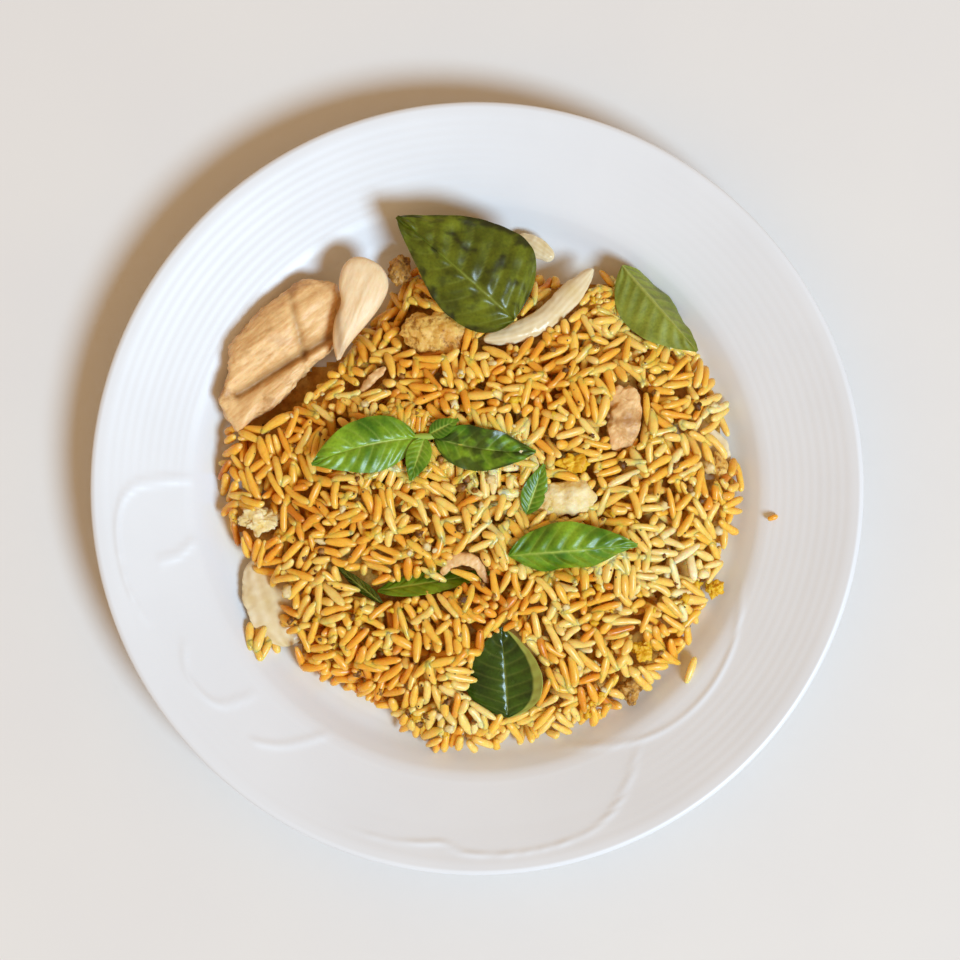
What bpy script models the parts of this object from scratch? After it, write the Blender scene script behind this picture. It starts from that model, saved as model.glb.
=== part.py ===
"""Fried rice with chicken, egg, onion and basil on a white porcelain dinner plate, for Blender 4.5.

Metres, +Z up. The origin is on the table at the middle of the plate's foot ring, +Y is the far side
of the plate and +X its right. Every separate piece of food is one closed solid. Pieces that are sunk
in the rice get a pocket in the heap, and pieces that lie on it are dropped until they touch.
"""

import math

import bmesh
import bpy
from mathutils import Matrix, Vector, noise
from mathutils.bvhtree import BVHTree

MM = 0.001

# Driving dimensions
PLATE_RADIUS = 125.0 * MM
PLATE_HEIGHT = 22.0 * MM
WELL_LEVEL = 6.2 * MM
PLATE_TURNS = 56  # segments round the plate
RICE_TURNS = 40  # segments round the heap
RICE_RADIUS = 85.5 * MM
RICE_PEAK = 20.5 * MM  # above the well, in the middle
RICE_EDGE = 2.6 * MM  # one grain thick where the heap ends
GAP = 0.4 * MM  # clearance between touching pieces
LEAF_THICKNESS = 0.7 * MM

# The plate's half section in millimetres (radius, height): up the inside, over the rim, and back
# along the underside round the foot ring.
INSIDE = [(60, 6.2), (78, 6.4), (83, 7.3), (87.5, 9.4), (91, 12), (94.5, 13.9), (110, 18.2), (121.5, 21.6)]
RIM_EDGE = [(123.6, 22), (124.7, 21.6), (125, 20.7), (124.4, 19.8)]
UNDERSIDE = [(122, 18.8), (110, 14.8), (98, 11.2), (90.5, 7), (84, 4), (79.4, 2.9)]
FOOT_RING = [(78.6, 0.3), (78, 0), (75.4, 0), (74.8, 0.3), (74, 2.3)]
BASE_THICKNESS = 3.7 * MM

# Where the rice draws back from its round outline: (direction in degrees, half width, depth in mm).
DENTS = {
    "beside_the_chicken": (127, 26, 22),
    "behind_the_onion_strip": (70, 9, 13),
    "at_the_onion_petal": (206, 13, 9),
    "front_left": (240, 16, 6),
}

# Rises and hollows of the heap: (x, y, half width, rise), all in mm.
MOUNDS = {
    "front": (-12, -50, 16, 2.6),
    "far_right": (36, 32, 18, 1.8),
    "left": (-38, -3, 14, 1.8),
    "right": (66, -12, 16, 1.6),
    "crease_at_the_buried_leaf": (-24, -30, 11, -3.4),
    "hollow_left_of_the_sprig": (-47, 13, 8, -2.4),
    "hollow_under_the_chicken": (-40, 42, 11, -2.6),
    "hollow_at_the_right_leaf": (52, 55, 10, -2.8),
}


# Materials ---------------------------------------------------------------------------------------


def surface(name, colour, roughness):
    """A dielectric material with a base colour given as (red, green, blue) in linear light."""
    material = bpy.data.materials.get(name) or bpy.data.materials.new(name)
    material.use_nodes = True
    shader = material.node_tree.nodes["Principled BSDF"]
    shader.inputs["Base Color"].default_value = (*colour, 1)
    shader.inputs["Roughness"].default_value = roughness
    shader.inputs["Metallic"].default_value = 0
    return material


def porcelain():
    return surface("glazed_porcelain", (0.83, 0.84, 0.86), 0.12)


def cooked_rice():
    return surface("fried_rice", (0.68, 0.40, 0.10), 0.4)


def cooked_chicken():
    return surface("cooked_chicken", (0.72, 0.47, 0.24), 0.45)


def cooked_egg():
    return surface("cooked_egg", (0.80, 0.56, 0.12), 0.4)


def soft_onion():
    return surface("soft_onion", (0.68, 0.52, 0.33), 0.25)


def basil():
    return surface("basil_leaf", (0.10, 0.20, 0.01), 0.35)


# Mesh helpers --------------------------------------------------------------------------------------


def clear_scene():
    for thing in list(bpy.data.objects):
        bpy.data.objects.remove(thing, do_unlink=True)


def add_object(name, mesh_edit, material):
    """A named object from a bmesh, with its faces turned outwards and shaded smooth."""
    bmesh.ops.remove_doubles(mesh_edit, verts=mesh_edit.verts, dist=0.01 * MM)
    bmesh.ops.triangulate(mesh_edit, faces=mesh_edit.faces)
    bmesh.ops.recalc_face_normals(mesh_edit, faces=mesh_edit.faces)
    if mesh_edit.calc_volume(signed=True) < 0:
        bmesh.ops.reverse_faces(mesh_edit, faces=mesh_edit.faces)
    mesh = bpy.data.meshes.new(name)
    mesh_edit.to_mesh(mesh)
    mesh_edit.free()
    mesh.materials.append(material)
    mesh.shade_smooth()
    piece = bpy.data.objects.new(name, mesh)
    bpy.context.scene.collection.objects.link(piece)
    return piece


def skin(mesh_edit, rows, closed_rows):
    """Quads between neighbouring rows of points, and the rows' vertices for whoever caps the ends."""
    made = [[mesh_edit.verts.new(point) for point in row] for row in rows]
    for low, high in zip(made, made[1:]):
        count = len(low)
        for k in range(count if closed_rows else count - 1):
            after = (k + 1) % count
            mesh_edit.faces.new((low[k], low[after], high[after], high[k]))
    return made


def tree_of(pieces):
    """One search tree over several finished pieces, and all their corner points."""
    corners, faces = [], []
    for piece in pieces:
        first = len(corners)
        corners += [vertex.co.copy() for vertex in piece.data.vertices]
        faces += [[first + index for index in face.vertices] for face in piece.data.polygons]
    return BVHTree.FromPolygons(corners, faces), corners


def drop(piece, below):
    """Lowers a piece straight down until it clears what is below by GAP."""
    start = 0.2
    for vertex in piece.data.vertices:
        vertex.co.z += start
    floor, floor_corners = tree_of(below)
    body, body_corners = tree_of([piece])
    falls = []
    for corner in body_corners:
        hit = floor.ray_cast(corner, Vector((0, 0, -1)))
        falls.append(hit[3])
    for corner in floor_corners:
        hit = body.ray_cast(corner, Vector((0, 0, 1)))
        falls.append(hit[3])
    fall = min(length for length in falls if length is not None) - GAP
    for vertex in piece.data.vertices:
        vertex.co.z -= fall
    piece.data.update()
    return piece


def swollen_copy(piece, by):
    """A hidden cutter: the piece with every face pushed out by a clearance."""
    edit = bmesh.new()
    edit.from_mesh(piece.data)
    moves = [vertex.normal * by * min(2.5, vertex.calc_shell_factor()) for vertex in edit.verts]
    for vertex, move in zip(edit.verts, moves):
        vertex.co += move
    mesh = bpy.data.meshes.new(piece.name + "_pocket")
    edit.to_mesh(mesh)
    edit.free()
    cutter = bpy.data.objects.new(piece.name + "_pocket", mesh)
    bpy.context.scene.collection.objects.link(cutter)
    cutter.hide_render = True
    cutter.display_type = "WIRE"
    return cutter


def sink_into(host, piece):
    """Cuts the pocket that a piece lies in out of its host."""
    pocket = host.modifiers.new(piece.name, "BOOLEAN")
    pocket.operation = "DIFFERENCE"
    pocket.object = swollen_copy(piece, GAP)


# Plate ---------------------------------------------------------------------------------------------


def along(points, radius):
    """Height at a radius on a section given in millimetres, by straight runs between its points."""
    wanted = radius / MM
    if wanted <= points[0][0]:
        return points[0][1] * MM
    for (r0, z0), (r1, z1) in zip(points, points[1:]):
        if wanted <= r1:
            return (z0 + (z1 - z0) * (wanted - r0) / (r1 - r0)) * MM
    return points[-1][1] * MM


def plate_top(x, y):
    return along(INSIDE, math.hypot(x, y))


def make_plate():
    """The section turned round the upright axis, with a flat disc inside and under the base."""
    section = [(0, WELL_LEVEL / MM)] + INSIDE + RIM_EDGE + UNDERSIDE + FOOT_RING
    section.append((0, (WELL_LEVEL - BASE_THICKNESS) / MM))
    edit = bmesh.new()
    points = [edit.verts.new((r * MM, 0, z * MM)) for r, z in section]
    lines = [edit.edges.new(pair) for pair in zip(points, points[1:])]
    bmesh.ops.spin(
        edit, geom=points + lines, cent=(0, 0, 0), axis=(0, 0, 1), angle=2 * math.pi, steps=PLATE_TURNS
    )
    return add_object("plate", edit, porcelain())


# Rice ----------------------------------------------------------------------------------------------


def bell(distance, half_width):
    return math.exp(-((distance / half_width) ** 2))


def rice_outline(direction):
    """Radius at which the heap ends, in a direction in radians."""
    degrees = math.degrees(direction) % 360
    radius = RICE_RADIUS
    for centre, half_width, depth in DENTS.values():
        away = abs((degrees - centre + 180) % 360 - 180)
        radius -= depth * MM * bell(away, half_width)
    ripple = math.sin(7 * direction + 0.6) + 0.7 * math.sin(11 * direction + 2)
    return radius + 0.9 * MM * ripple


def heap_top(x, y):
    """Height of the rice over the table: a full dome on the plate, with rises and hollows."""
    share = min(1.0, math.hypot(x, y) / rice_outline(math.atan2(y, x)))
    dome = RICE_EDGE + (RICE_PEAK - RICE_EDGE) * (1 - share**3) ** 0.7
    for mx, my, half_width, rise in MOUNDS.values():
        away = math.hypot(x - mx * MM, y - my * MM)
        dome += rise * MM * bell(away, half_width * MM) * (1 - share**4)
    lumps = noise.noise(Vector((x, y, 0)) / (9 * MM)) * 1.3 * MM * (1 - share**6)
    return plate_top(x, y) + dome + lumps


def make_rice_heap():
    """Rings of the heap from its middle out over the edge and back along the plate."""
    shares_out = [0.16, 0.32, 0.47, 0.6, 0.72, 0.82, 0.9, 0.96, 1.0]
    shares_back = [0.98, 0.9, 0.6]
    directions = [2 * math.pi * k / RICE_TURNS for k in range(RICE_TURNS)]

    def ring(share, height):
        points = []
        for direction in directions:
            reach = share * rice_outline(direction)
            x, y = reach * math.cos(direction), reach * math.sin(direction)
            points.append((x, y, height(x, y)))
        return points

    edit = bmesh.new()
    rows = [ring(share, heap_top) for share in shares_out]
    rows += [ring(share, lambda x, y: plate_top(x, y) + GAP) for share in shares_back]
    made = skin(edit, rows, closed_rows=True)
    for row, height in ((made[0], heap_top(0, 0)), (made[-1], WELL_LEVEL + GAP)):
        middle = edit.verts.new((0, 0, height))
        for a, b in zip(row, row[1:] + row[:1]):
            edit.faces.new((a, b, middle))
    return add_object("rice_heap", edit, cooked_rice())


# Lumps: egg, shredded chicken, crumbs ---------------------------------------------------------------


def lump_edit(size, roughness, seed, around=10, up=6):
    """A ball of the given half sizes, pushed in and out by noise."""
    edit = bmesh.new()
    bmesh.ops.create_uvsphere(edit, u_segments=around, v_segments=up, radius=1)
    for vertex in edit.verts:
        swell = 1 + roughness * noise.noise(vertex.co * 1.7 + Vector((seed, 0, 0)))
        vertex.co = Vector(vertex.co[k] * size[k] * MM * swell for k in range(3))
    return edit


def make_lump(name, place, size, yaw, material, sunk, roughness=0.5, seed=1.0):
    """A lump lying at a place (x, y) in mm on the heap; sunk is the share of it below the surface."""
    edit = lump_edit(size, roughness, seed)
    x, y = place[0] * MM, place[1] * MM
    z = heap_top(x, y) + size[2] * MM * (1 - 2 * sunk)
    turned = Matrix.Translation((x, y, z)) @ Matrix.Rotation(math.radians(yaw), 4, "Z")
    bmesh.ops.transform(edit, matrix=turned, verts=edit.verts)
    return add_object(name, edit, material)


# Strips: onion, chicken -----------------------------------------------------------------------------


def make_strip(name, spine, widths, thicknesses, material, around=10, crown=1.0):
    """A bar of rounded section swept along a spine of (x, y, z) in mm, one width and thickness a point.

    The spine is a smooth curve through its points, and crown makes its section rounder or flatter.
    """
    edit = bmesh.new()
    count = 3 * (len(spine) - 1) + 1
    rows = []
    for step in range(count):
        at = step / (count - 1) * (len(spine) - 1)
        here = Vector(smooth_through(spine, at)) * MM
        ahead = Vector(smooth_through(spine, min(at + 0.05, len(spine) - 1)))
        behind = Vector(smooth_through(spine, max(at - 0.05, 0)))
        forward = (ahead - behind).normalized()
        side = forward.cross(Vector((0, 0, 1))).normalized()
        up = side.cross(forward)
        half_w = smooth_through([(w,) for w in widths], at)[0] / 2 * MM
        half_t = smooth_through([(t,) for t in thicknesses], at)[0] / 2 * MM
        row = []
        for k in range(around):
            turn = 2 * math.pi * k / around
            across, over = math.cos(turn), math.sin(turn)
            flat = abs(over) ** crown * math.copysign(1, over)
            row.append(here + side * half_w * across + up * half_t * flat)
        rows.append(row)
    made = skin(edit, rows, closed_rows=True)
    for row in (made[0], made[-1]):
        edit.faces.new(row)
    return add_object(name, edit, material)


def smooth_through(points, at):
    """A point on a smooth curve through a list of points, at a whole or broken index."""
    last = len(points) - 1
    i = min(int(at), last - 1)
    t = at - i
    before, a, b, after = (points[min(max(j, 0), last)] for j in (i - 1, i, i + 1, i + 2))
    found = []
    for p, q, r, s in zip(before, a, b, after):
        bend = (2 * p - 5 * q + 4 * r - s) * t * t + (3 * q - p - 3 * r + s) * t**3
        found.append(0.5 * (2 * q + (r - p) * t + bend))
    return found


# Leaves --------------------------------------------------------------------------------------------


def blade_outline(t, shoulder):
    """Share of a leaf's half width, from its stalk at 0 to its tip at 1; a low shoulder is a broad base."""
    return math.sin(math.pi * t**shoulder) ** 0.85 if t < 1 else 0


def blade_frames(leaf, rows):
    """Places and directions along a leaf's midrib, which bends up and down, sideways, and twists."""
    frames = []
    here = Vector((0, 0, 0))
    step = leaf["length"] * MM / (rows - 1)
    for k in range(rows):
        t = k / (rows - 1)
        pitch = math.radians(leaf.get("arch", 0) * (0.5 - t) + leaf.get("pitch", 0))
        yaw = math.radians(leaf["yaw"] + leaf.get("sweep", 0) * (t - 0.5))
        roll = math.radians(leaf.get("roll", 0) + leaf.get("twist", 0) * t)
        forward = Vector((math.cos(pitch) * math.cos(yaw), math.cos(pitch) * math.sin(yaw), math.sin(pitch)))
        side = Vector((-math.sin(yaw), math.cos(yaw), 0))
        up = forward.cross(side)
        turn = Matrix.Rotation(roll, 3, forward)
        frames.append((t, here.copy(), turn @ side, turn @ up))
        here += forward * step
    return frames


def blade_point(leaf, frame, s, lift):
    """A point of the leaf at a share s of its half width, -1 right to 1 left, lifted off the middle."""
    t, middle, side, up = frame
    half = leaf["width"] / 2 * MM * (leaf.get("left_share", 1) if s > 0 else 1)
    reach = abs(s) * max(half * blade_outline(t, leaf.get("shoulder", 0.78)), LEAF_THICKNESS)
    fold = math.radians(leaf.get("fold_left" if s > 0 else "fold_right", 0))
    curl = math.radians(leaf.get("curl_left" if s > 0 else "curl_right", 0)) / half
    if abs(curl) < 1e-6:
        out, rise = reach * math.cos(fold), reach * math.sin(fold)
    else:
        out = (math.sin(fold + curl * reach) - math.sin(fold)) / curl
        rise = (math.cos(fold) - math.cos(fold + curl * reach)) / curl
    lean = fold + curl * reach
    sign = 1 if s > 0 else -1
    wave = leaf.get("wave", 0) * MM * s * s * math.sin(2 * math.pi * (2.2 * t + 0.2 * sign))
    out -= math.sin(lean) * (lift + wave)
    rise += math.cos(lean) * (lift + wave)
    return middle + side * sign * out + up * rise


def blade_edit(leaf, rows=8, columns=5):
    """A leaf as a closed sheet: its upper face, its lower face and the strip round its edge."""
    edit = bmesh.new()
    frames = blade_frames(leaf, rows)
    shares = [-1 + 2 * k / (columns - 1) for k in range(columns)]
    faces = []
    for lift in (LEAF_THICKNESS / 2, -LEAF_THICKNESS / 2):
        points = [[blade_point(leaf, frame, s, lift) for s in shares] for frame in frames]
        faces.append(skin(edit, points, closed_rows=False))
    upper, lower = ([*f[0], *(r[-1] for r in f[1:-1]), *f[-1][::-1], *(r[0] for r in f[-2:0:-1])] for f in faces)
    for k in range(len(upper)):
        after = (k + 1) % len(upper)
        edit.faces.new((upper[k], upper[after], lower[after], lower[k]))
    return edit


def make_leaf(name, leaf):
    """A leaf with its stalk end at leaf["place"] (x, y) in mm, at the height of the heap there."""
    edit = blade_edit(leaf)
    x, y = leaf["place"][0] * MM, leaf["place"][1] * MM
    z = heap_top(x, y) + leaf.get("rise", 0) * MM
    bmesh.ops.translate(edit, vec=(x, y, z), verts=edit.verts)
    return add_object(name, edit, basil())


LEAVES_ON_TOP = {
    "basil_big": {"place": (12, 54), "yaw": 139, "length": 50, "width": 44, "left_share": 0.62,
                  "shoulder": 0.58, "arch": 24, "pitch": 2, "fold_left": -10, "curl_left": -14,
                  "fold_right": -2, "curl_right": -16, "wave": 0.8},
    "basil_right": {"place": (47, 72), "yaw": -49, "length": 37, "width": 24, "arch": 20, "pitch": 2,
                    "fold_left": -54, "curl_left": -20, "fold_right": -10, "curl_right": -12, "wave": 0.5},
    "basil_tiny": {"place": (16, -8), "yaw": 71, "length": 17, "width": 8, "arch": 20, "pitch": 8,
                   "fold_left": 18, "fold_right": 18, "curl_left": -16, "curl_right": -16},
    "basil_middle": {"place": (10.5, -21.5), "yaw": 5, "length": 41.5, "width": 19, "arch": 38, "pitch": 2,
                     "fold_left": 4, "curl_left": -26, "fold_right": -42, "curl_right": -20, "wave": 0.7},
}

SPRIG_LEAVES = {
    "left": {"start": 2.4, "yaw": 194, "length": 35, "width": 18, "arch": 26, "sweep": 22, "pitch": 6,
             "fold_left": 10, "curl_left": -30, "fold_right": 10, "curl_right": -30, "wave": 0.5},
    "front": {"start": 0.3, "yaw": 252, "length": 15, "width": 8, "arch": 18, "pitch": 14,
              "fold_left": 14, "curl_left": -20, "fold_right": 14, "curl_right": -20},
    "back": {"start": 1.6, "yaw": 26, "length": 12, "width": 6, "arch": 20, "pitch": 30,
             "fold_left": 14, "curl_left": -20, "fold_right": 14, "curl_right": -20},
    "right": {"start": 2.8, "yaw": -8, "length": 33, "width": 15, "arch": 10, "sweep": 20, "pitch": 6, "twist": -30,
              "fold_left": 22, "curl_left": 26, "fold_right": 8, "curl_right": -26, "wave": 0.6},
}
SPRIG_STEM = {"place": (-16.5, 16.5), "length": 9, "width": 2.6}

LEAVES_SUNK = {
    "basil_buried_near": {"place": (-30.5, -37), "yaw": 141, "length": 20, "width": 8, "roll": -62,
                          "rise": 0.6, "arch": 14},
    "basil_buried_far": {"place": (-32, -33), "yaw": 9, "length": 38, "width": 10, "roll": -48,
                         "rise": 0.2, "arch": 8, "curl_left": 12},
    "basil_front": {"place": (10, -74), "yaw": 94, "length": 30, "width": 27, "rise": 3.2, "pitch": 9,
                    "arch": 12, "fold_left": -4, "curl_left": -12, "fold_right": 6, "curl_right": 42},
}


def make_sprig():
    """Four leaves on one short stem, joined into one solid."""
    x, y = (v * MM for v in SPRIG_STEM["place"])
    z = heap_top(x, y) + 1.2 * MM
    edit = bmesh.new()
    bmesh.ops.create_uvsphere(edit, u_segments=8, v_segments=6, radius=1)
    half = (SPRIG_STEM["length"] / 2, SPRIG_STEM["width"] / 2, SPRIG_STEM["width"] / 2)
    stem = Matrix.Translation((x, y, z)) @ Matrix.Diagonal((*(h * MM for h in half), 1))
    bmesh.ops.transform(edit, matrix=stem, verts=edit.verts)
    sprig = add_object("basil_sprig", edit, basil())
    for part, leaf in SPRIG_LEAVES.items():
        edit = blade_edit(leaf)
        reach = Vector((math.cos(math.radians(leaf["yaw"])), math.sin(math.radians(leaf["yaw"])), 0))
        start = Vector((x, y, z)) + reach * leaf["start"] * MM
        bmesh.ops.translate(edit, vec=start, verts=edit.verts)
        blade = add_object("sprig_" + part, edit, basil())
        blade.hide_render = True
        blade.display_type = "WIRE"
        join = sprig.modifiers.new(part, "BOOLEAN")
        join.operation = "UNION"
        join.solver = "MANIFOLD"  # the exact solver loses these thin overlapping blades
        join.object = blade
    return sprig


# Food pieces ----------------------------------------------------------------------------------------


def make_chicken_chunk():
    """The big torn piece: a thick slab with a groove along it, lying across the left of the plate."""
    spine = [(-80, 24, 20), (-73, 33, 20), (-63.5, 43, 20), (-54, 54, 20), (-47, 62, 20)]
    widths = [14, 27, 30, 27, 14]
    thicknesses = [7, 12, 15, 13, 7]
    return make_strip("chicken_chunk", spine, widths, thicknesses, cooked_chicken(), around=14, crown=0.8)


def make_chicken_strip():
    """The smooth tapering piece that lies over the end of the big one."""
    spine = [(-44, 42, 30), (-42.5, 49, 30.5), (-39.5, 58, 31.5), (-36, 67, 32), (-34.5, 72.5, 30.5)]
    widths = [3, 8.5, 12, 15, 12]
    thicknesses = [2, 5, 7, 7.5, 5.5]
    return make_strip("chicken_strip", spine, widths, thicknesses, cooked_chicken(), around=12)


def onion_pieces():
    """Softened onion: a bent strip, two petals that the rice partly covers, and a scrap at the back."""
    strip = [(1.5, 48, 23.6), (12, 50, 24.2), (22, 55, 23.4), (30.5, 63.5, 20.6), (37.5, 71.5, 17.4)]
    petal_left = [(-73, -23, 10.4), (-68, -32, 11.6), (-64, -42, 11.8), (-61, -52, 10.2)]
    petal_right = [(63, 21, 13.6), (69, 16, 14.4), (76, 10, 13.2), (80, 4, 11.6)]
    scrap = [(13, 82, 12.2), (19, 79, 13.2), (25, 75, 13.2)]
    onion = soft_onion()
    return [
        make_strip("onion_strip", strip, [6, 7.5, 7.5, 8, 4], [1.8, 2.2, 2.4, 2.4, 1.6], onion, 8, 0.7),
        make_strip("onion_petal_left", petal_left, [10, 20, 20, 10], [1.6, 2.2, 2.2, 1.6], onion, 8, 0.7),
        make_strip("onion_petal_right", petal_right, [10, 17, 17, 9], [1.8, 2.4, 2.4, 1.6], onion, 8, 0.7),
        make_strip("onion_scrap", scrap, [5, 7, 4], [1.8, 2.4, 1.6], onion, 8, 0.7),
    ]


def egg_pieces():
    """Scrambled egg: pale lumps of white, yellow lumps of yolk, and browned crumbs."""
    egg = cooked_egg()
    return [
        make_lump("egg_ragged", (-15, 51), (12.5, 7, 4), 3, egg, 0.42, 0.7, 3.1),
        make_lump("egg_white_middle", (28.5, -2.5), (8, 6, 3.2), -12, egg, 0.4, 0.6, 5.2),
        make_lump("egg_white_left", (-70, -11), (8, 5.2, 3), -10, egg, 0.4, 0.6, 6.3),
        make_lump("egg_yolk_middle", (30.5, 8), (5.6, 3.6, 2.6), 8, egg, 0.36, 0.4, 7.4),
        make_lump("egg_yolk_front", (53.5, -52), (3.6, 4.4, 2.8), -20, egg, 0.4, 0.5, 8.5),
        make_lump("egg_yolk_right", (77.5, -33), (3.2, 3.8, 2.6), 10, egg, 0.3, 0.5, 9.6),
        make_lump("egg_flake_right", (79, 7), (2.2, 5.6, 1.8), 12, egg, 0.3, 0.5, 2.2),
    ]


def browned_pieces():
    """Crumbs of browned egg and meat at the back and at the front edge."""
    meat = cooked_chicken()
    return [
        make_lump("browned_crumb_back", (-25.5, 71), (4, 5.2, 3.4), 20, meat, 0.0, 0.7, 4.4),
        make_lump("browned_crumb_front", (50, -66), (3.4, 5.4, 2.8), 25, meat, 0.3, 0.35, 1.4),
    ]


def chicken_shreds():
    """Torn chicken in the rice: a stringy lump, an arched shred and a small forked one."""
    meat = cooked_chicken()
    shred = [(-11.5, -27.5, 25.6), (-6.5, -22.8, 27.6), (-1, -23.4, 27.8), (3.6, -30.5, 26)]
    fork = [(-37.5, 31, 23.2), (-34, 35, 24.8), (-29.5, 39, 25)]
    return [
        make_lump("chicken_shred_lump", (47, 23.5), (6.4, 12, 4), -14, meat, 0.42, 0.5, 2.7),
        make_strip("chicken_shred_arch", shred, [3, 5, 4.5, 2], [2, 2.6, 2.6, 1.6], meat, 8),
        make_strip("chicken_shred_fork", fork, [2, 3.6, 2.4], [1.4, 2, 1.6], meat, 8),
    ]


def make_rice_clump():
    """The few grains stuck together that lie apart, at the left of the front edge."""
    edit = lump_edit((6, 7.8, 3.4), 0.3, 0.8)
    x, y = -70.5 * MM, -49 * MM
    turned = Matrix.Translation((x, y, 0.03)) @ Matrix.Rotation(math.radians(-14), 4, "Z")
    bmesh.ops.transform(edit, matrix=turned, verts=edit.verts)
    return add_object("rice_clump", edit, cooked_rice())


def main():
    clear_scene()
    plate = make_plate()
    heap = make_rice_heap()
    chunk = drop(make_chicken_chunk(), [plate])
    sunk = [chunk, *onion_pieces(), *egg_pieces(), *chicken_shreds()]
    crumbs = browned_pieces()
    sunk.append(crumbs[1])
    sunk += [make_leaf(name, leaf) for name, leaf in LEAVES_SUNK.items()]
    for piece in sunk:
        sink_into(heap, piece)
    below = [plate, heap, *sunk]
    drop(crumbs[0], below)
    drop(make_rice_clump(), below)
    drop(make_chicken_strip(), below)
    drop(make_sprig(), below)
    for name, leaf in LEAVES_ON_TOP.items():
        drop(make_leaf(name, leaf), below)


main()
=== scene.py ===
"""Fried rice with chicken, egg, onion and basil on a white porcelain plate: the finished look.

Metres, +Z up, +Y the far side of the plate. Lengths in the tables are in millimetres, angles in degrees.
"""

import math

import bmesh
import bpy
import numpy as np
from mathutils import Matrix, Vector, noise
from mathutils.bvhtree import BVHTree


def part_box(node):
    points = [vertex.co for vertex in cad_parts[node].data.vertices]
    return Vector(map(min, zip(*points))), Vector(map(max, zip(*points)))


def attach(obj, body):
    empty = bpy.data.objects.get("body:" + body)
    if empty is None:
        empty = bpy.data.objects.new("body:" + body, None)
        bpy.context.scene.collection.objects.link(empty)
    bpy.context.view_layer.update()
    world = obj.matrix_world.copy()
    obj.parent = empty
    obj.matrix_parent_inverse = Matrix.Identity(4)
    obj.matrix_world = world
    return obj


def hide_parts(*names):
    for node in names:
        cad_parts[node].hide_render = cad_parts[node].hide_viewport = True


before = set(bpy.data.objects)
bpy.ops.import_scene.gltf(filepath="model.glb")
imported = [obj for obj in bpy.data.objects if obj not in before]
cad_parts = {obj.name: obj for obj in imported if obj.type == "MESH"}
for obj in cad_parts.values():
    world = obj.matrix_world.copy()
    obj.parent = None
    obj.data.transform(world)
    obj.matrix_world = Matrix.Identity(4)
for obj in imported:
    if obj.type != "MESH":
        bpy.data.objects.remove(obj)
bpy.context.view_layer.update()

MM = 0.001
rng = np.random.default_rng(7)

# Plate, as the solid has it: half section in mm up the inside, over the rim and back underneath
INSIDE = [(0, 6.2), (60, 6.2), (78, 6.4), (83, 7.3), (87.5, 9.4), (91, 12), (94.5, 13.9), (110, 18.2),
          (121.5, 21.6)]
RIM_EDGE = [(123.6, 22), (124.7, 21.6), (125, 20.7), (124.4, 19.8)]
UNDERSIDE = [(122, 18.8), (110, 14.8), (98, 11.2), (90.5, 7), (84, 4), (79.4, 2.9)]
FOOT_RING = [(78.6, 0.3), (78, 0), (75.4, 0), (74.8, 0.3), (74, 2.3), (60, 2.5), (0, 2.5)]
PLATE_TURNS = 400
RIB_PITCH = 2.8
RIB_HEIGHT = 0.018

# Rice
GRAIN_LENGTH = 10.4  # mm, as is the width
GRAIN_WIDTH = 2.9
GRAIN_COUNT = 5800  # at most; laying stops once the outline is full
CELL = 0.5  # mm, the grid on which grains are laid
SHELL = 9.0  # mm of loose grains over the core
PEAK_LIFT = 0.8  # mm
STAND_OUT = 3.0  # mm a grain may stand out of the outline
PUSH_DOWN = 2.0  # mm a grain may be pushed down into the others
FOOD_TOP = 34.6  # mm


# Small helpers --------------------------------------------------------------------------------------


def lone(made):
    """Selects and makes active only this object."""
    bpy.ops.object.select_all(action="DESELECT")
    made.select_set(True)
    bpy.context.view_layer.objects.active = made
    return made


def primitive(add, name, **settings):
    """Adds one primitive at the origin, alone in the selection, and names it."""
    bpy.ops.object.select_all(action="DESELECT")
    add(**settings)
    made = bpy.context.object
    made.name = name
    made.data.name = name
    return made


def points_of(made):
    found = np.empty(len(made.data.vertices) * 3, dtype=np.float32)
    made.data.vertices.foreach_get("co", found)
    return found.reshape(-1, 3).astype(np.float64)


def set_points(made, points):
    made.data.vertices.foreach_set("co", np.ascontiguousarray(points, dtype=np.float32).ravel())
    made.data.update()


def apply_modifier(made, kind, **settings):
    lone(made)
    modifier = made.modifiers.new(kind.title(), kind)
    for key, value in settings.items():
        setattr(modifier, key, value)
    bpy.ops.object.modifier_apply(modifier=modifier.name)


def smooth(made, angle=60):
    lone(made)
    bpy.ops.object.shade_smooth_by_angle(angle=math.radians(angle))


def paint(made, name, values):
    """Stores one number a point, which the material reads."""
    layer = made.data.attributes.new(name, "FLOAT", "POINT")
    layer.data.foreach_set("value", np.ascontiguousarray(values, dtype=np.float32).ravel())


def rough(points, size, seed=0.0, octaves=1):
    """Smooth noise at the points, about -1 to 1, with lumps of the given size in mm."""
    shift = Vector((seed * 17.3, seed * 9.1, seed * 4.7))
    found = np.zeros(len(points))
    for octave in range(octaves):
        scale = 2**octave / (size * MM)
        found += [noise.noise(Vector(p) * scale + shift) / 2**octave for p in points]
    return found


def smooth_curve(points, count, closed=False):
    """Points on a smooth curve through a short list of points."""
    given = np.array(points, dtype=float)
    last = len(given) if closed else len(given) - 1
    found = []
    for at in np.linspace(0, last, count, endpoint=not closed):
        i = min(int(at), last - 1)
        t = at - i
        if closed:
            p, q, r, s = (given[(i + k) % last] for k in (-1, 0, 1, 2))
        else:
            p, q, r, s = (given[min(max(i + k, 0), last)] for k in (-1, 0, 1, 2))
        bend = (2 * p - 5 * q + 4 * r - s) * t * t + (3 * q - p - 3 * r + s) * t**3
        found.append(0.5 * (2 * q + (r - p) * t + bend))
    return np.array(found)


def finish_piece(made, material, node=None):
    """Gives a piece its material, hangs it on the root body, and hides the solid it stands for."""
    made.data.materials.clear()
    made.data.materials.append(material)
    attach(made, "root")
    if node:
        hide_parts(node)
    return made


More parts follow.
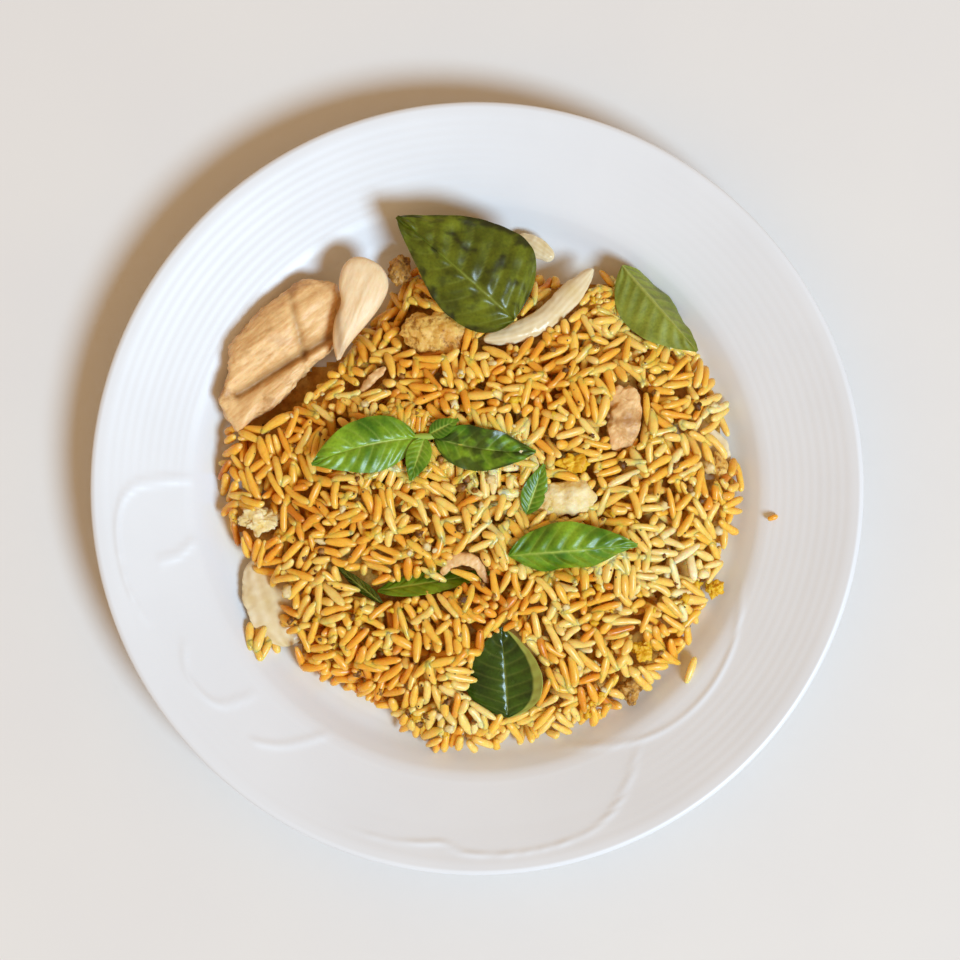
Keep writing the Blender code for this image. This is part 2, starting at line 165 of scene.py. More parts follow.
def seat(made, node):
    """Moves a piece so that its box is centred on the box of its solid."""
    low, high = (np.array(corner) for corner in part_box(node))
    points = points_of(made)
    middle = (points.min(axis=0) + points.max(axis=0)) / 2
    points += (low + high) / 2 - middle
    set_points(made, points)


# Materials ------------------------------------------------------------------------------------------


def colour(hex_value):
    """Linear colour, with alpha, from an sRGB hex value."""
    channels = [int(hex_value[k:k + 2], 16) / 255 for k in (0, 2, 4)]
    linear = [c / 12.92 if c <= 0.04045 else ((c + 0.055) / 1.055) ** 2.4 for c in channels]
    return (*linear, 1)


def add_node(tree, kind, links=None, **settings):
    """Adds a node, sets its properties and unlinked sockets, and links its other sockets."""
    made = tree.nodes.new(kind)
    for key, value in settings.items():
        if hasattr(made, key):
            setattr(made, key, value)
        else:
            made.inputs[key.replace("_", " ")].default_value = value
    for socket, source in (links or {}).items():
        tree.links.new(source, made.inputs[socket])
    return made


def new_material(name, **principled):
    """A material with its Principled shader's even values set, its tree and its shader."""
    material = bpy.data.materials.new(name)
    material.use_nodes = True
    tree = material.node_tree
    shader = tree.nodes["Principled BSDF"]
    for key, value in principled.items():
        shader.inputs[key.replace("_", " ")].default_value = value
    return material, tree, shader


def ramp(tree, source, stops):
    """A colour ramp over the source with (position, colour) stops."""
    made = add_node(tree, "ShaderNodeValToRGB", {0: source})
    elements = made.color_ramp.elements
    while len(elements) < len(stops):
        elements.new(0.5)
    for element, (position, shade) in zip(elements, stops):
        element.position = position
        element.color = shade
    return made.outputs["Color"]


def blend(tree, share, low, high, mode="MIX"):
    """Mixes two colours by a share; each of the three is a socket or a plain value."""
    made = tree.nodes.new("ShaderNodeMix")
    made.data_type = "RGBA"
    made.blend_type = mode
    for index, value in ((0, share), (6, low), (7, high)):
        if isinstance(value, bpy.types.NodeSocket):
            tree.links.new(value, made.inputs[index])
        else:
            made.inputs[index].default_value = value
    return made.outputs[2]


def speckle(tree, size_mm, detail=3.0, roughness=0.5, stretch=(1, 1, 1)):
    """Noise with features of a real size, read in object coordinates."""
    place = add_node(tree, "ShaderNodeTexCoord").outputs["Object"]
    place = add_node(tree, "ShaderNodeMapping", {0: place}, Scale=stretch).outputs[0]
    made = add_node(tree, "ShaderNodeTexNoise", {"Vector": place}, Scale=1 / (size_mm * MM),
                    Detail=detail, Roughness=roughness)
    return made.outputs["Fac"]


def relief(tree, shader, height, depth_mm, strength=1.0):
    bump = add_node(tree, "ShaderNodeBump", {"Height": height}, Distance=depth_mm * MM, Strength=strength)
    tree.links.new(bump.outputs[0], shader.inputs["Normal"])


def uneven_gloss(tree, shader, size_mm, low, high):
    """Roughness that wanders between two values in patches of the given size."""
    gloss = add_node(tree, "ShaderNodeMapRange", {"Value": speckle(tree, size_mm)})
    gloss.inputs["To Min"].default_value = low
    gloss.inputs["To Max"].default_value = high
    tree.links.new(gloss.outputs[0], shader.inputs["Roughness"])


def attribute(tree, name):
    return add_node(tree, "ShaderNodeAttribute", attribute_name=name).outputs["Fac"]


def glazed_porcelain():
    """Fired white glaze over a pale body: cool white, mirror-clear gloss, faintly uneven."""
    material, tree, shader = new_material("glazed_porcelain", IOR=1.5)
    cloud = ramp(tree, speckle(tree, 30), [(0.3, colour("E1E3E7")), (0.7, colour("E4E6EA"))])
    # Warm cream tint near the rice: partly a thin oil film, partly painted bounce light from the golden
    # rice.
    oil_and_bounce_tinted = blend(tree, attribute(tree, "oil"), cloud, colour("EBDDBC"))
    bare = blend(tree, attribute(tree, "bare"), oil_and_bounce_tinted, colour("DED8CC"))
    tree.links.new(bare, shader.inputs["Base Color"])
    gloss = add_node(tree, "ShaderNodeMapRange", {"Value": speckle(tree, 12)})
    gloss.inputs["To Min"].default_value = 0.3
    gloss.inputs["To Max"].default_value = 0.4
    matt = add_node(tree, "ShaderNodeMath", {0: attribute(tree, "bare"), 1: gloss.outputs[0]})
    tree.links.new(matt.outputs[0], shader.inputs["Roughness"])
    relief(tree, shader, speckle(tree, 3), 0.02, 0.4)
    return material


def fried_rice_grain():
    """Cooked long grain in oil and sauce: translucent ivory to golden brown, glossy and moist."""
    material, tree, shader = new_material(
        "fried_rice_grain", IOR=1.45, Subsurface_Weight=0.7, Subsurface_Scale=0.002)
    shader.inputs["Subsurface Radius"].default_value = (1.0, 0.55, 0.2)
    tone = attribute(tree, "tone")
    body = ramp(tree, tone, [
        (0.0, colour("D0801E")), (0.25, colour("F4AC38")), (0.5, colour("FFC650")),
        (0.75, colour("FFDB82")), (1.0, colour("FFECBC"))])
    stain = ramp(tree, speckle(tree, 2.2, 4), [(0.35, colour("E2BE6C")), (0.6, colour("FFFFFF"))])
    body = blend(tree, 0.3, body, stain, "MULTIPLY")
    tips = blend(tree, attribute(tree, "tip"), body, colour("F6DE98"))
    tree.links.new(tips, shader.inputs["Base Color"])
    uneven_gloss(tree, shader, 1.6, 0.18, 0.38)
    relief(tree, shader, speckle(tree, 0.5, 2), 0.05, 0.6)
    return material


def rice_core_mash_and_gap_shade():
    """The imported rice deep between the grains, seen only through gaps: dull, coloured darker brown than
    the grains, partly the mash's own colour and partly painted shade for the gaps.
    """
    material, tree, shader = new_material("rice_core_mash_and_gap_shade", IOR=1.45, Roughness=0.6)
    # Darker brown than the grains: painted shade in the gaps between them, over the mash's own colour.
    tree.links.new(ramp(tree, speckle(tree, 3, 4), [
        (0.3, colour("B87A1E")), (0.7, colour("E8B24A"))]), shader.inputs["Base Color"])
    relief(tree, shader, speckle(tree, 2.5, 3), 1.2)
    return material


def poached_chicken(name, pale, dark, brown, along):
    """Torn breast meat: pale tan fibres and browned patches, slightly moist; darker in the creases as
    painted shade, and in random patches on the shreds.
    """
    material, tree, shader = new_material(name, IOR=1.4, Subsurface_Weight=0.25, Subsurface_Scale=0.002)
    shader.inputs["Subsurface Radius"].default_value = (1.0, 0.55, 0.3)
    turn = add_node(tree, "ShaderNodeTexCoord").outputs["Object"]
    turn = add_node(tree, "ShaderNodeMapping", {0: turn}, vector_type="TEXTURE",
                    Rotation=(0, 0, math.radians(along))).outputs[0]
    turn = add_node(tree, "ShaderNodeMapping", {0: turn}, Scale=(0.28, 1, 1)).outputs[0]
    fibre = add_node(tree, "ShaderNodeTexNoise", {"Vector": turn}, Scale=1 / (1.1 * MM), Detail=4.0,
                     Roughness=0.6).outputs["Fac"]
    body = ramp(tree, fibre, [(0.3, colour(dark)), (0.6, colour(pale))])
    patch = ramp(tree, speckle(tree, 9, 4, 0.6), [(0.5, colour("000000")), (0.68, colour("FFFFFF"))])
    body = blend(tree, blend(tree, 1.0, patch, attribute(tree, "browned"), "MULTIPLY"), body, colour(brown))
    # Painted shade in the creases, plus random darker patches on the shreds: blended towards a dark brown.
    body = blend(tree, attribute(tree, "crease_shade_and_dark_patch"), body, colour("8A5A26"))
    tree.links.new(body, shader.inputs["Base Color"])
    uneven_gloss(tree, shader, 2, 0.34, 0.56)
    relief(tree, shader, fibre, 0.14, 0.5)
    return material


def scrambled_egg(name, pale, rich, brown, brown_from=0.62):
    """Set egg curd: soft, moist, mottled from pale to rich, with browned spots."""
    material, tree, shader = new_material(name, IOR=1.4, Subsurface_Weight=0.3, Subsurface_Scale=0.002)
    shader.inputs["Subsurface Radius"].default_value = (1.0, 0.7, 0.2)
    body = ramp(tree, speckle(tree, 3.5, 4, 0.6), [(0.35, colour(rich)), (0.65, colour(pale))])
    spots = ramp(tree, speckle(tree, 2.4, 5, 0.65), [(brown_from - 0.08, colour("000000")),
                                                     (brown_from + 0.08, colour("FFFFFF"))])
    tree.links.new(blend(tree, spots, body, colour(brown)), shader.inputs["Base Color"])
    uneven_gloss(tree, shader, 1.5, 0.28, 0.5)
    relief(tree, shader, speckle(tree, 1.1, 4, 0.6), 0.5, 0.8)
    return material


def soft_onion():
    """Softened onion flesh: wet, glassy, pale straw with fine lengthwise lines."""
    material, tree, shader = new_material(
        "soft_onion", IOR=1.38, Subsurface_Weight=0.15, Subsurface_Scale=0.002)
    shader.inputs["Subsurface Radius"].default_value = (1.0, 0.8, 0.5)
    body = ramp(tree, speckle(tree, 7, 3), [(0.3, colour("E2CE9E")), (0.7, colour("F0E2C2"))])
    lines = ramp(tree, attribute(tree, "lines"), [(0.0, colour("E0CC9C")), (1.0, colour("FFFFFF"))])
    tree.links.new(blend(tree, 0.35, body, lines, "MULTIPLY"), shader.inputs["Base Color"])
    uneven_gloss(tree, shader, 3, 0.12, 0.3)
    relief(tree, shader, speckle(tree, 1.4, 2), 0.1, 0.5)
    return material


def basil_leaf(name, deep, bright, vein, wilt="1C1E0A", low_gloss=0.22, high_gloss=0.42):
    """Fresh basil blade: waxy, quilted between pale veins, with darker wilted patches."""
    material, tree, shader = new_material(
        name, IOR=1.45, Subsurface_Weight=0.12, Subsurface_Scale=0.001)
    shader.inputs["Subsurface Radius"].default_value = (0.4, 1.0, 0.15)
    body = ramp(tree, speckle(tree, 9, 3), [(0.35, colour(deep)), (0.68, colour(bright))])
    cells = ramp(tree, speckle(tree, 0.9, 3), [(0.3, colour("B9BE9A")), (0.6, colour("FFFFFF"))])
    body = blend(tree, 0.5, body, cells, "MULTIPLY")
    body = blend(tree, attribute(tree, "vein"), body, colour(vein))
    body = blend(tree, attribute(tree, "wilt"), body, colour(wilt))
    tree.links.new(body, shader.inputs["Base Color"])
    uneven_gloss(tree, shader, 4, low_gloss, high_gloss)
    relief(tree, shader, speckle(tree, 0.8, 3), 0.08, 0.5)
    return material


def pepper_crumb():
    """Cracked pepper and burnt crumbs: nearly black brown, dull."""
    material, tree, shader = new_material("pepper_crumb", IOR=1.45, Roughness=0.7)
    tree.links.new(ramp(tree, speckle(tree, 0.6), [
        (0.3, colour("2A1A08")), (0.7, colour("6B4415"))]), shader.inputs["Base Color"])
    return material


def painted_table():
    """Plain pale matt table top, faintly warm."""
    material, tree, shader = new_material("painted_table", Roughness=0.7)
    shader.inputs["Specular IOR Level"].default_value = 0.2
    tree.links.new(ramp(tree, speckle(tree, 60), [
        (0.3, colour("E1DEDC")), (0.7, colour("E3E0DD"))]), shader.inputs["Base Color"])
    return material


# Plate ----------------------------------------------------------------------------------------------

# Raised petals cast in the rim: outlines as (direction in degrees, radius in mm) along each edge
PETAL_EDGES = [
    [(304, 95), (300, 102.5), (295, 110.5), (290.5, 115.5), (284, 118), (275, 118.7), (268, 117.9),
     (264.5, 115.2), (261.5, 116), (256, 117.2), (249, 117.2)],
    [(287, 89), (293, 91.5), (300, 96), (308, 99.6), (317, 100.3), (326, 98.6), (334, 95.2), (341, 91.5)],
    [(178, 91), (178.4, 101), (179.4, 110.5), (182.5, 115.6), (188, 117.5), (196, 117.3), (203, 114.8)],
    [(190, 93), (192.4, 99.5), (193, 107)],
    [(207, 106.5), (212, 111.3), (217, 111.2), (220.5, 108), (223, 97)],
    [(228, 110), (233, 104.5), (239, 93)],
]
SMOOTH_ZONES = [(277, 30, 107, 13), (314, 22, 97, 6), (190, 13, 106, 12), (218, 12, 104, 10),
                (240, 14, 108, 12)]


def along(section, radius):
    """Height on a section at a radius, both in mm."""
    return np.interp(radius, [p[0] for p in section], [p[1] for p in section])


def plate_top(x, y):
    """Height of the plate's inside at a place in mm."""
    return along(INSIDE, np.hypot(x, y))


def rounded_section(points, count):
    """The half section as a smooth line with evenly spread points."""
    given = np.array(points, dtype=float)
    length = np.concatenate([[0], np.cumsum(np.hypot(*np.diff(given, axis=0).T))])
    spread = np.linspace(0, length[-1], count)
    return np.column_stack([np.interp(spread, length, given[:, k]) for k in (0, 1)])


def petal_relief(x, y):
    """Cast pattern of the rim: low ribs that fade out where smooth petals with raised edges lie."""
    radius, direction = np.hypot(x, y), np.degrees(np.arctan2(y, x)) % 360
    smooth_share = np.zeros_like(radius)
    for centre, width, middle, depth in SMOOTH_ZONES:
        away = np.abs((direction - centre + 180) % 360 - 180) / width
        smooth_share = np.maximum(smooth_share, np.exp(-(away**6) - ((radius - middle) / depth) ** 6))
    band = 1 / (1 + np.exp(-(radius - 90.5) * 2)) / (1 + np.exp((radius - 121.8) * 4))
    ribs = RIB_HEIGHT * np.cos(2 * np.pi * radius / RIB_PITCH) * band * (1 - smooth_share)
    ridge = np.zeros_like(radius)
    for edge in PETAL_EDGES:
        line = smooth_curve(edge, 70)
        lx = line[:, 1] * np.cos(np.radians(line[:, 0]))
        ly = line[:, 1] * np.sin(np.radians(line[:, 0]))
        near = np.full_like(radius, 99.0)
        fade = np.ones_like(radius)
        for k in range(len(line)):
            gap = np.hypot(x - lx[k], y - ly[k])
            closer = gap < near
            near = np.where(closer, gap, near)
            fade = np.where(closer, min(1.0, k / 9, (len(line) - 1 - k) / 9), fade)
        ridge = np.maximum(ridge, 0.42 * np.exp(-((near / 0.95) ** 2)) * fade)
    return ribs + ridge


def make_plate():
    """Half section spun round, then pressed with the rim's pattern."""
    top = rounded_section(INSIDE[:6], 26)[:-1].tolist()
    top += rounded_section(INSIDE[6:] + RIM_EDGE[:1], 66).tolist()
    cove = smooth_curve([(82, 7.05), (86, 8.5), (90, 11.2), (93, 13.2), (96, 14.35)], 15)
    top = [p for p in top if p[0] < 81.5 or p[0] > 96.3]
    section = sorted(top + cove.tolist(), key=lambda p: p[0])
    section += smooth_curve(RIM_EDGE + UNDERSIDE[:1], 13)[1:].tolist() + UNDERSIDE[1:] + FOOT_RING
    section = [tuple(p) for p in section]
    mesh = bpy.data.meshes.new("porcelain_plate")
    mesh.from_pydata([(r * MM, 0, z * MM) for r, z in section],
                     [(k, k + 1) for k in range(len(section) - 1)], [])
    plate = bpy.data.objects.new("porcelain_plate", mesh)
    bpy.context.scene.collection.objects.link(plate)
    lone(plate)
    bpy.ops.object.mode_set(mode="EDIT")
    bpy.ops.mesh.select_all(action="SELECT")
    bpy.ops.mesh.spin(steps=PLATE_TURNS, angle=2 * math.pi, center=(0, 0, 0), axis=(0, 0, 1))
    bpy.ops.mesh.select_all(action="SELECT")
    bpy.ops.mesh.remove_doubles(threshold=0.005 * MM)
    bpy.ops.mesh.normals_make_consistent(inside=False)
    bpy.ops.object.mode_set(mode="OBJECT")
    points = points_of(plate)
    x, y, z = (points / MM).T
    radius = np.hypot(x, y)
    inner = (z > plate_top(x, y) - 0.9) & (radius > 84) & (radius < 123)
    points[inner, 2] += petal_relief(x[inner], y[inner]) * MM
    set_points(plate, points)
    ring = (z < 0.35) & (radius > 74) & (radius < 79.4)
    paint(plate, "bare", ring.astype(float))
    # Painted bounce light from the rice, together with a thin oil film: strongest at the rice's edge and
    # gone 9 mm out.
    reach = rice_edge_distance(x, y)
    inside_face = z > plate_top(x, y) - 0.9
    oil_and_bounce_smear = np.clip(1 - reach / 9, 0, 1) ** 1.5 * 0.75 * inside_face
    paint(plate, "oil", oil_and_bounce_smear * (0.65 + 0.35 * rough(points, 6, 2)))
    smooth(plate, 40)
    return finish_piece(plate, glazed_porcelain(), "plate")


# Maps of the solids --------------------------------------------------------------------------------

REACH = 96.0  # mm, half side of the maps
SIDE = int(2 * REACH / CELL)
CELL_X, CELL_Y = np.meshgrid((np.arange(SIDE) + 0.5) * CELL - REACH, (np.arange(SIDE) + 0.5) * CELL - REACH,
                             indexing="ij")

ON_TOP = ["basil_big", "basil_right", "basil_sprig", "basil_tiny", "basil_middle", "chicken_strip",
          "browned_crumb_back"]
SUNK = ["chicken_chunk", "chicken_shred_lump", "chicken_shred_arch", "chicken_shred_fork", "egg_ragged",
        "egg_yolk_middle", "egg_yolk_front", "egg_yolk_right", "egg_flake_right", "egg_white_middle",
        "egg_white_left", "browned_crumb_front", "onion_strip", "onion_petal_left", "onion_petal_right",
        "onion_scrap", "basil_buried_near", "basil_buried_far", "basil_front", "rice_clump"]


PARTLY_COVERED = ["onion_petal_left", "onion_petal_right", "basil_front", "basil_buried_far",
                  "chicken_shred_lump", "egg_white_left"]
SHOWN = [name for name in SUNK if name not in PARTLY_COVERED]


def height_map(names, from_above=True):
    """Height in mm of the named solids over each cell, from above or from below; nan where none is."""
    corners, faces = [], []
    for name in names:
        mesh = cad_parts[name].data
        first = len(corners)
        corners += [vertex.co.copy() for vertex in mesh.vertices]
        faces += [[first + k for k in face.vertices] for face in mesh.polygons]
    tree = BVHTree.FromPolygons(corners, faces)
    down = Vector((0, 0, -1 if from_above else 1))
    start = 0.2 if from_above else -0.1
    low = np.min([list(c)[:2] for c in corners], axis=0) / MM
    high = np.max([list(c)[:2] for c in corners], axis=0) / MM
    found = np.full((SIDE, SIDE), np.nan)
    inside = (CELL_X >= low[0]) & (CELL_X <= high[0]) & (CELL_Y >= low[1]) & (CELL_Y <= high[1])
    for i, j in zip(*np.nonzero(inside)):
        hit = tree.ray_cast(Vector((CELL_X[i, j] * MM, CELL_Y[i, j] * MM, start)), down)[0]
        if hit:
            found[i, j] = hit.z / MM
    return found


def field(size, seed, octaves=2):
    """A soft random field over the maps, made coarse and spread, about -1 to 1."""
    step = 8
    coarse = np.array([[sum(noise.noise(Vector((x * 2**o / size, y * 2**o / size, seed + 5 * o))) / 2**o
                            for o in range(octaves))
                        for y in CELL_Y[0, ::step]] for x in CELL_X[::step, 0]])
    at = np.arange(SIDE) / step
    rows = np.array([np.interp(at, np.arange(len(row)), row) for row in coarse])
    return np.array([np.interp(at, np.arange(len(col)), col) for col in rows.T]).T


HEAP = height_map(["rice_heap"])
PLATE_MAP = plate_top(CELL_X, CELL_Y)
RICE_HERE = ~np.isnan(HEAP)
PIECES = np.nan_to_num(height_map(SUNK), nan=-99)


def edge_by_direction():
    """Radius in mm at which the rice ends, for each whole degree."""
    radius = np.where(RICE_HERE, np.hypot(CELL_X, CELL_Y), 0)
    direction = np.degrees(np.arctan2(CELL_Y, CELL_X)).astype(int) % 360
    ends = np.zeros(360)
    np.maximum.at(ends, direction.ravel(), radius.ravel())
    return np.convolve(np.concatenate([ends[-2:], ends, ends[:2]]), np.ones(5) / 5, mode="valid")


RICE_ENDS = edge_by_direction()


def rice_edge_distance(x, y):
    """How far outside the rice a place is, in mm; below 0 inside it."""
    direction = np.degrees(np.arctan2(y, x)) % 360
    return np.hypot(x, y) - np.interp(direction, np.arange(360), RICE_ENDS)


# Rice ----------------------------------------------------------------------------------------------


def grain_profile(share):
    """Half thickness share along a grain, from -1 at one tip to 1 at the other."""
    return np.sqrt(np.clip(1 - np.abs(share) ** 3.4, 0, 1)) * (1 - 0.08 * share)


def grain_shape(name, bend, flat, seed):
    """One cooked grain along X, one unit long from tip to tip: a ball drawn out, bent and dented."""
    grain = primitive(bpy.ops.mesh.primitive_uv_sphere_add, name, segments=8, ring_count=7, radius=1)
    points = points_of(grain)[:, [2, 0, 1]]
    share = points[:, 0]
    turn = np.arctan2(points[:, 2], points[:, 1])
    share = np.sign(share) * np.abs(share) ** 0.85
    girth = grain_profile(share * 0.985)
    girth[np.abs(points[:, 0]) > 0.999] = 0
    dent = 1 + 0.1 * np.sin(2 * turn + seed) * (1 - share**2) + 0.1 * np.sin(3.4 * share + seed)
    shaped = np.column_stack([
        share / 2,
        np.cos(turn) * girth * dent / 2,
        np.sin(turn) * girth * dent * flat / 2])
    shaped[:, 1] += bend * (1 - share**2)
    set_points(grain, shaped)
    lone(grain)
    bpy.ops.object.mode_set(mode="EDIT")
    bpy.ops.mesh.select_all(action="SELECT")
    bpy.ops.mesh.quads_convert_to_tris()
    bpy.ops.mesh.normals_make_consistent(inside=False)
    bpy.ops.object.mode_set(mode="OBJECT")
    found = points_of(grain)
    faces = np.array([list(face.vertices) for face in grain.data.polygons])
    bpy.data.objects.remove(grain, do_unlink=True)
    return found, faces, np.abs(found[:, 0]) * 2


GRAIN_SHAPES = [grain_shape(f"grain_{k}", bend, flat, seed) for k, (bend, flat, seed) in enumerate(
    [(0.0, 0.9, 0.3), (0.12, 0.86, 1.7), (0.22, 0.92, 2.9), (-0.14, 0.84, 4.1), (0.32, 0.9, 5.2)])]


def grain_matrix(yaw, pitch, roll, length, width):
    """Scale to size, roll about the grain, pitch up, then turn about the vertical."""
    turn = Matrix.Rotation(yaw, 3, "Z") @ Matrix.Rotation(-pitch, 3, "Y") @ Matrix.Rotation(roll, 3, "X")
    return np.array(turn) @ np.diag([length, width, width])


def footprint(x, y, reach):
    """The slices of the maps within reach of a place in mm."""
    i0, i1 = int((x - reach + REACH) / CELL), int((x + reach + REACH) / CELL) + 1
    j0, j1 = int((y - reach + REACH) / CELL), int((y + reach + REACH) / CELL) + 1
    return slice(max(i0, 0), min(i1, SIDE)), slice(max(j0, 0), min(j1, SIDE))


def lay_grain(heights, ceiling, limit, keep_clear, x, y, yaw, length, width, loose):
    """Rests one grain on the heap: it lies across the two highest spots under it, one on each side.

    Gives back its middle's height and its pitch, or nothing where it would stick through a piece above
    or stand out of the heap.
    """
    along_x, along_y = math.cos(yaw), math.sin(yaw)
    spots = np.linspace(-0.46, 0.46, 10) * length
    shift = np.array([-0.32, 0, 0.32])[:, None] * width
    ix = np.clip(((x + spots * along_x - shift * along_y + REACH) / CELL).astype(int), 0, SIDE - 1)
    iy = np.clip(((y + spots * along_y + shift * along_x + REACH) / CELL).astype(int), 0, SIDE - 1)
    girth = grain_profile(spots / (length / 2)) * width / 2 * 0.9
    under = heights[ix, iy].max(axis=0) + girth
    left, right = under[:5, None], under[None, 5:]
    ul, ur = spots[:5, None], spots[None, 5:]
    middle = (left * ur - right * ul) / (ur - ul)
    i, j = np.unravel_index(middle.argmax(), middle.shape)
    slope = np.clip((under[5 + j] - under[i]) / (spots[5 + j] - spots[i]) + loose, -0.9, 0.9)
    height = (under - slope * spots).max()
    si, sj = footprint(x, y, length / 2 + 1)
    dx, dy = CELL_X[si, sj] - x, CELL_Y[si, sj] - y
    u = (dx * along_x + dy * along_y)
    v = (dy * along_x - dx * along_y)
    half = length / 2 / math.sqrt(1 + slope**2)
    girth = grain_profile(np.clip(u / half, -1, 1)) * width / 2
    on = (np.abs(u) < half) & (np.abs(v) < girth)
    if not on.any() or keep_clear[si, sj][on].mean() > 0.2:
        return None
    top = height + slope * u + 0.9 * np.sqrt(np.clip(girth**2 - v**2, 0, None))
    over = (top - ceiling[si, sj] + 0.25)[on].max()
    if over > 4:
        return None
    if over > 0:
        height -= over
        top -= over
    over = (top - limit[si, sj])[on].max()
    if over > PUSH_DOWN:
        return None
    if over > 0:
        height -= over
        top -= over
    patch = heights[si, sj]
    patch[on] = np.maximum(patch[on], top[on])
    return height, math.atan(slope)


def lay_rice():
    """Heaps loose grains over the core until the solid's outline is filled, in small parallel bundles."""
    target = HEAP + PEAK_LIFT + 2.0 * field(13, 3.3) + 1.1 * field(5.5, 8.1)
    target = np.where(RICE_HERE, np.maximum(target, PLATE_MAP + 2.2), -99)
    core = np.where(RICE_HERE, np.maximum(HEAP - SHELL, PLATE_MAP), PLATE_MAP)
    sunk_top = height_map(SUNK)
    heights = np.fmax(core, sunk_top)
    ceiling = np.nan_to_num(height_map(ON_TOP, from_above=False), nan=999)
    keep_clear = np.nan_to_num(height_map(SHOWN), nan=-99) > target - 2.5
    keep_clear |= np.nan_to_num(height_map(PARTLY_COVERED), nan=-99) > target - 0.6
    limit = np.minimum(np.where(RICE_HERE, target, PLATE_MAP + 2.2) + STAND_OUT, FOOD_TOP)
    laid = []
    tries = 0
    while len(laid) < GRAIN_COUNT and tries < 3 * GRAIN_COUNT:
        if tries % 40 == 0:
            need = np.clip(target - heights - 0.3, 0, 3.5) ** 1.5
            need[np.minimum(ceiling, 900) < heights + 1.5] = 0
            chance = need.ravel().cumsum()
            if chance[-1] < 150:
                break
        tries += 1
        spot = np.searchsorted(chance, rng.random() * chance[-1])
        i, j = divmod(min(int(spot), SIDE * SIDE - 1), SIDE)
        yaw = rng.random() * 2 * math.pi
        x, y = CELL_X[i, j], CELL_Y[i, j]
        for k in range(rng.choice([1, 2, 3, 4], p=[0.5, 0.28, 0.15, 0.07])):
            length = np.clip(rng.normal(GRAIN_LENGTH, 0.9), 7.6, 12.2)
            if rng.random() < 0.08:
                length = rng.uniform(4.5, 7)
            width = GRAIN_WIDTH * rng.uniform(0.9, 1.1)
            turned = yaw + rng.normal(0, 0.13)
            gx = x - math.sin(yaw) * k * width * 0.95 + rng.normal(0, 0.8) * math.cos(yaw)
            gy = y + math.cos(yaw) * k * width * 0.95 + rng.normal(0, 0.8) * math.sin(yaw)
            ci, cj = (int(np.clip((v + REACH) / CELL, 0, SIDE - 1)) for v in (gx, gy))
            if target[ci, cj] - heights[ci, cj] < 0.2:
                continue
            placed = lay_grain(heights, ceiling, limit, keep_clear, gx, gy, turned, length, width,
                               rng.normal(0, 0.10))
            if placed:
                laid.append((gx, gy, placed[0], turned, placed[1], length, width))
    return laid, heights


def joined_copies(name, copies, material, node=None):
    """One mesh of many turned copies: each is (shape, 3 x 3 matrix, place in mm, {attribute: value})."""
    corners, faces, values = [], [], {}
    first = 0
    for (points, triangles, tip), matrix, place, marks in copies:
        corners.append((points @ matrix.T + np.array(place)) * MM)
        faces.append(triangles + first)
        first += len(points)
        for key, value in {**marks, "tip": tip}.items():
            values.setdefault(key, []).append(np.broadcast_to(value, len(points)))
    mesh = bpy.data.meshes.new(name)
    mesh.from_pydata(np.concatenate(corners).tolist(), [], np.concatenate(faces).tolist())
    made = bpy.data.objects.new(name, mesh)
    bpy.context.scene.collection.objects.link(made)
    for key, value in values.items():
        paint(made, key, np.concatenate(value))
    mesh.shade_smooth()
    return finish_piece(made, material, node)


def grain_tone(x, y, browning):
    """Tone of a grain, 0 browned to 1 pale: browner at the left and in patches, paler on the right."""
    i, j = (int(np.clip((v + REACH) / CELL, 0, SIDE - 1)) for v in (x, y))
    tone = 0.53 + 0.0013 * x - 0.3 * browning[i, j] + rng.normal(0, 0.11)
    if rng.random() < 0.05:
        tone -= 0.3
    return float(np.clip(tone, 0.02, 1))


def tip_marks(tip, strength):
    return np.clip((tip - 0.72) / 0.28, 0, 1) * strength


def make_rice():
    """The loose grains in three pieces over one brown core."""
    grain_material = fried_rice_grain()
    laid, heights = lay_rice()
    browning = field(24, 21.5)
    laid.sort(key=lambda g: g[2] - HEAP[footprint(g[0], g[1], 0.4)].max() if RICE_HERE[
        footprint(g[0], g[1], 0.4)].any() else 0)
    copies = []
    for x, y, z, yaw, pitch, length, width in laid:
        shape = GRAIN_SHAPES[rng.integers(len(GRAIN_SHAPES))]
        matrix = grain_matrix(yaw, pitch, rng.random() * 6.3, length, width)
        copies.append(((shape[0], shape[1], tip_marks(shape[2], rng.uniform(0.1, 0.6))), matrix, (x, y, z),
                       {"tone": grain_tone(x, y, browning)}))
    thirds = np.array_split(np.arange(len(copies)), 3)
    for part, chosen in zip(("deep", "middle", "upper"), thirds):
        joined_copies(f"rice_grains_{part}", [copies[k] for k in chosen], grain_material, "rice_heap")
    make_rice_core()
    make_stray_rice(grain_material)
    return heights, len(laid)


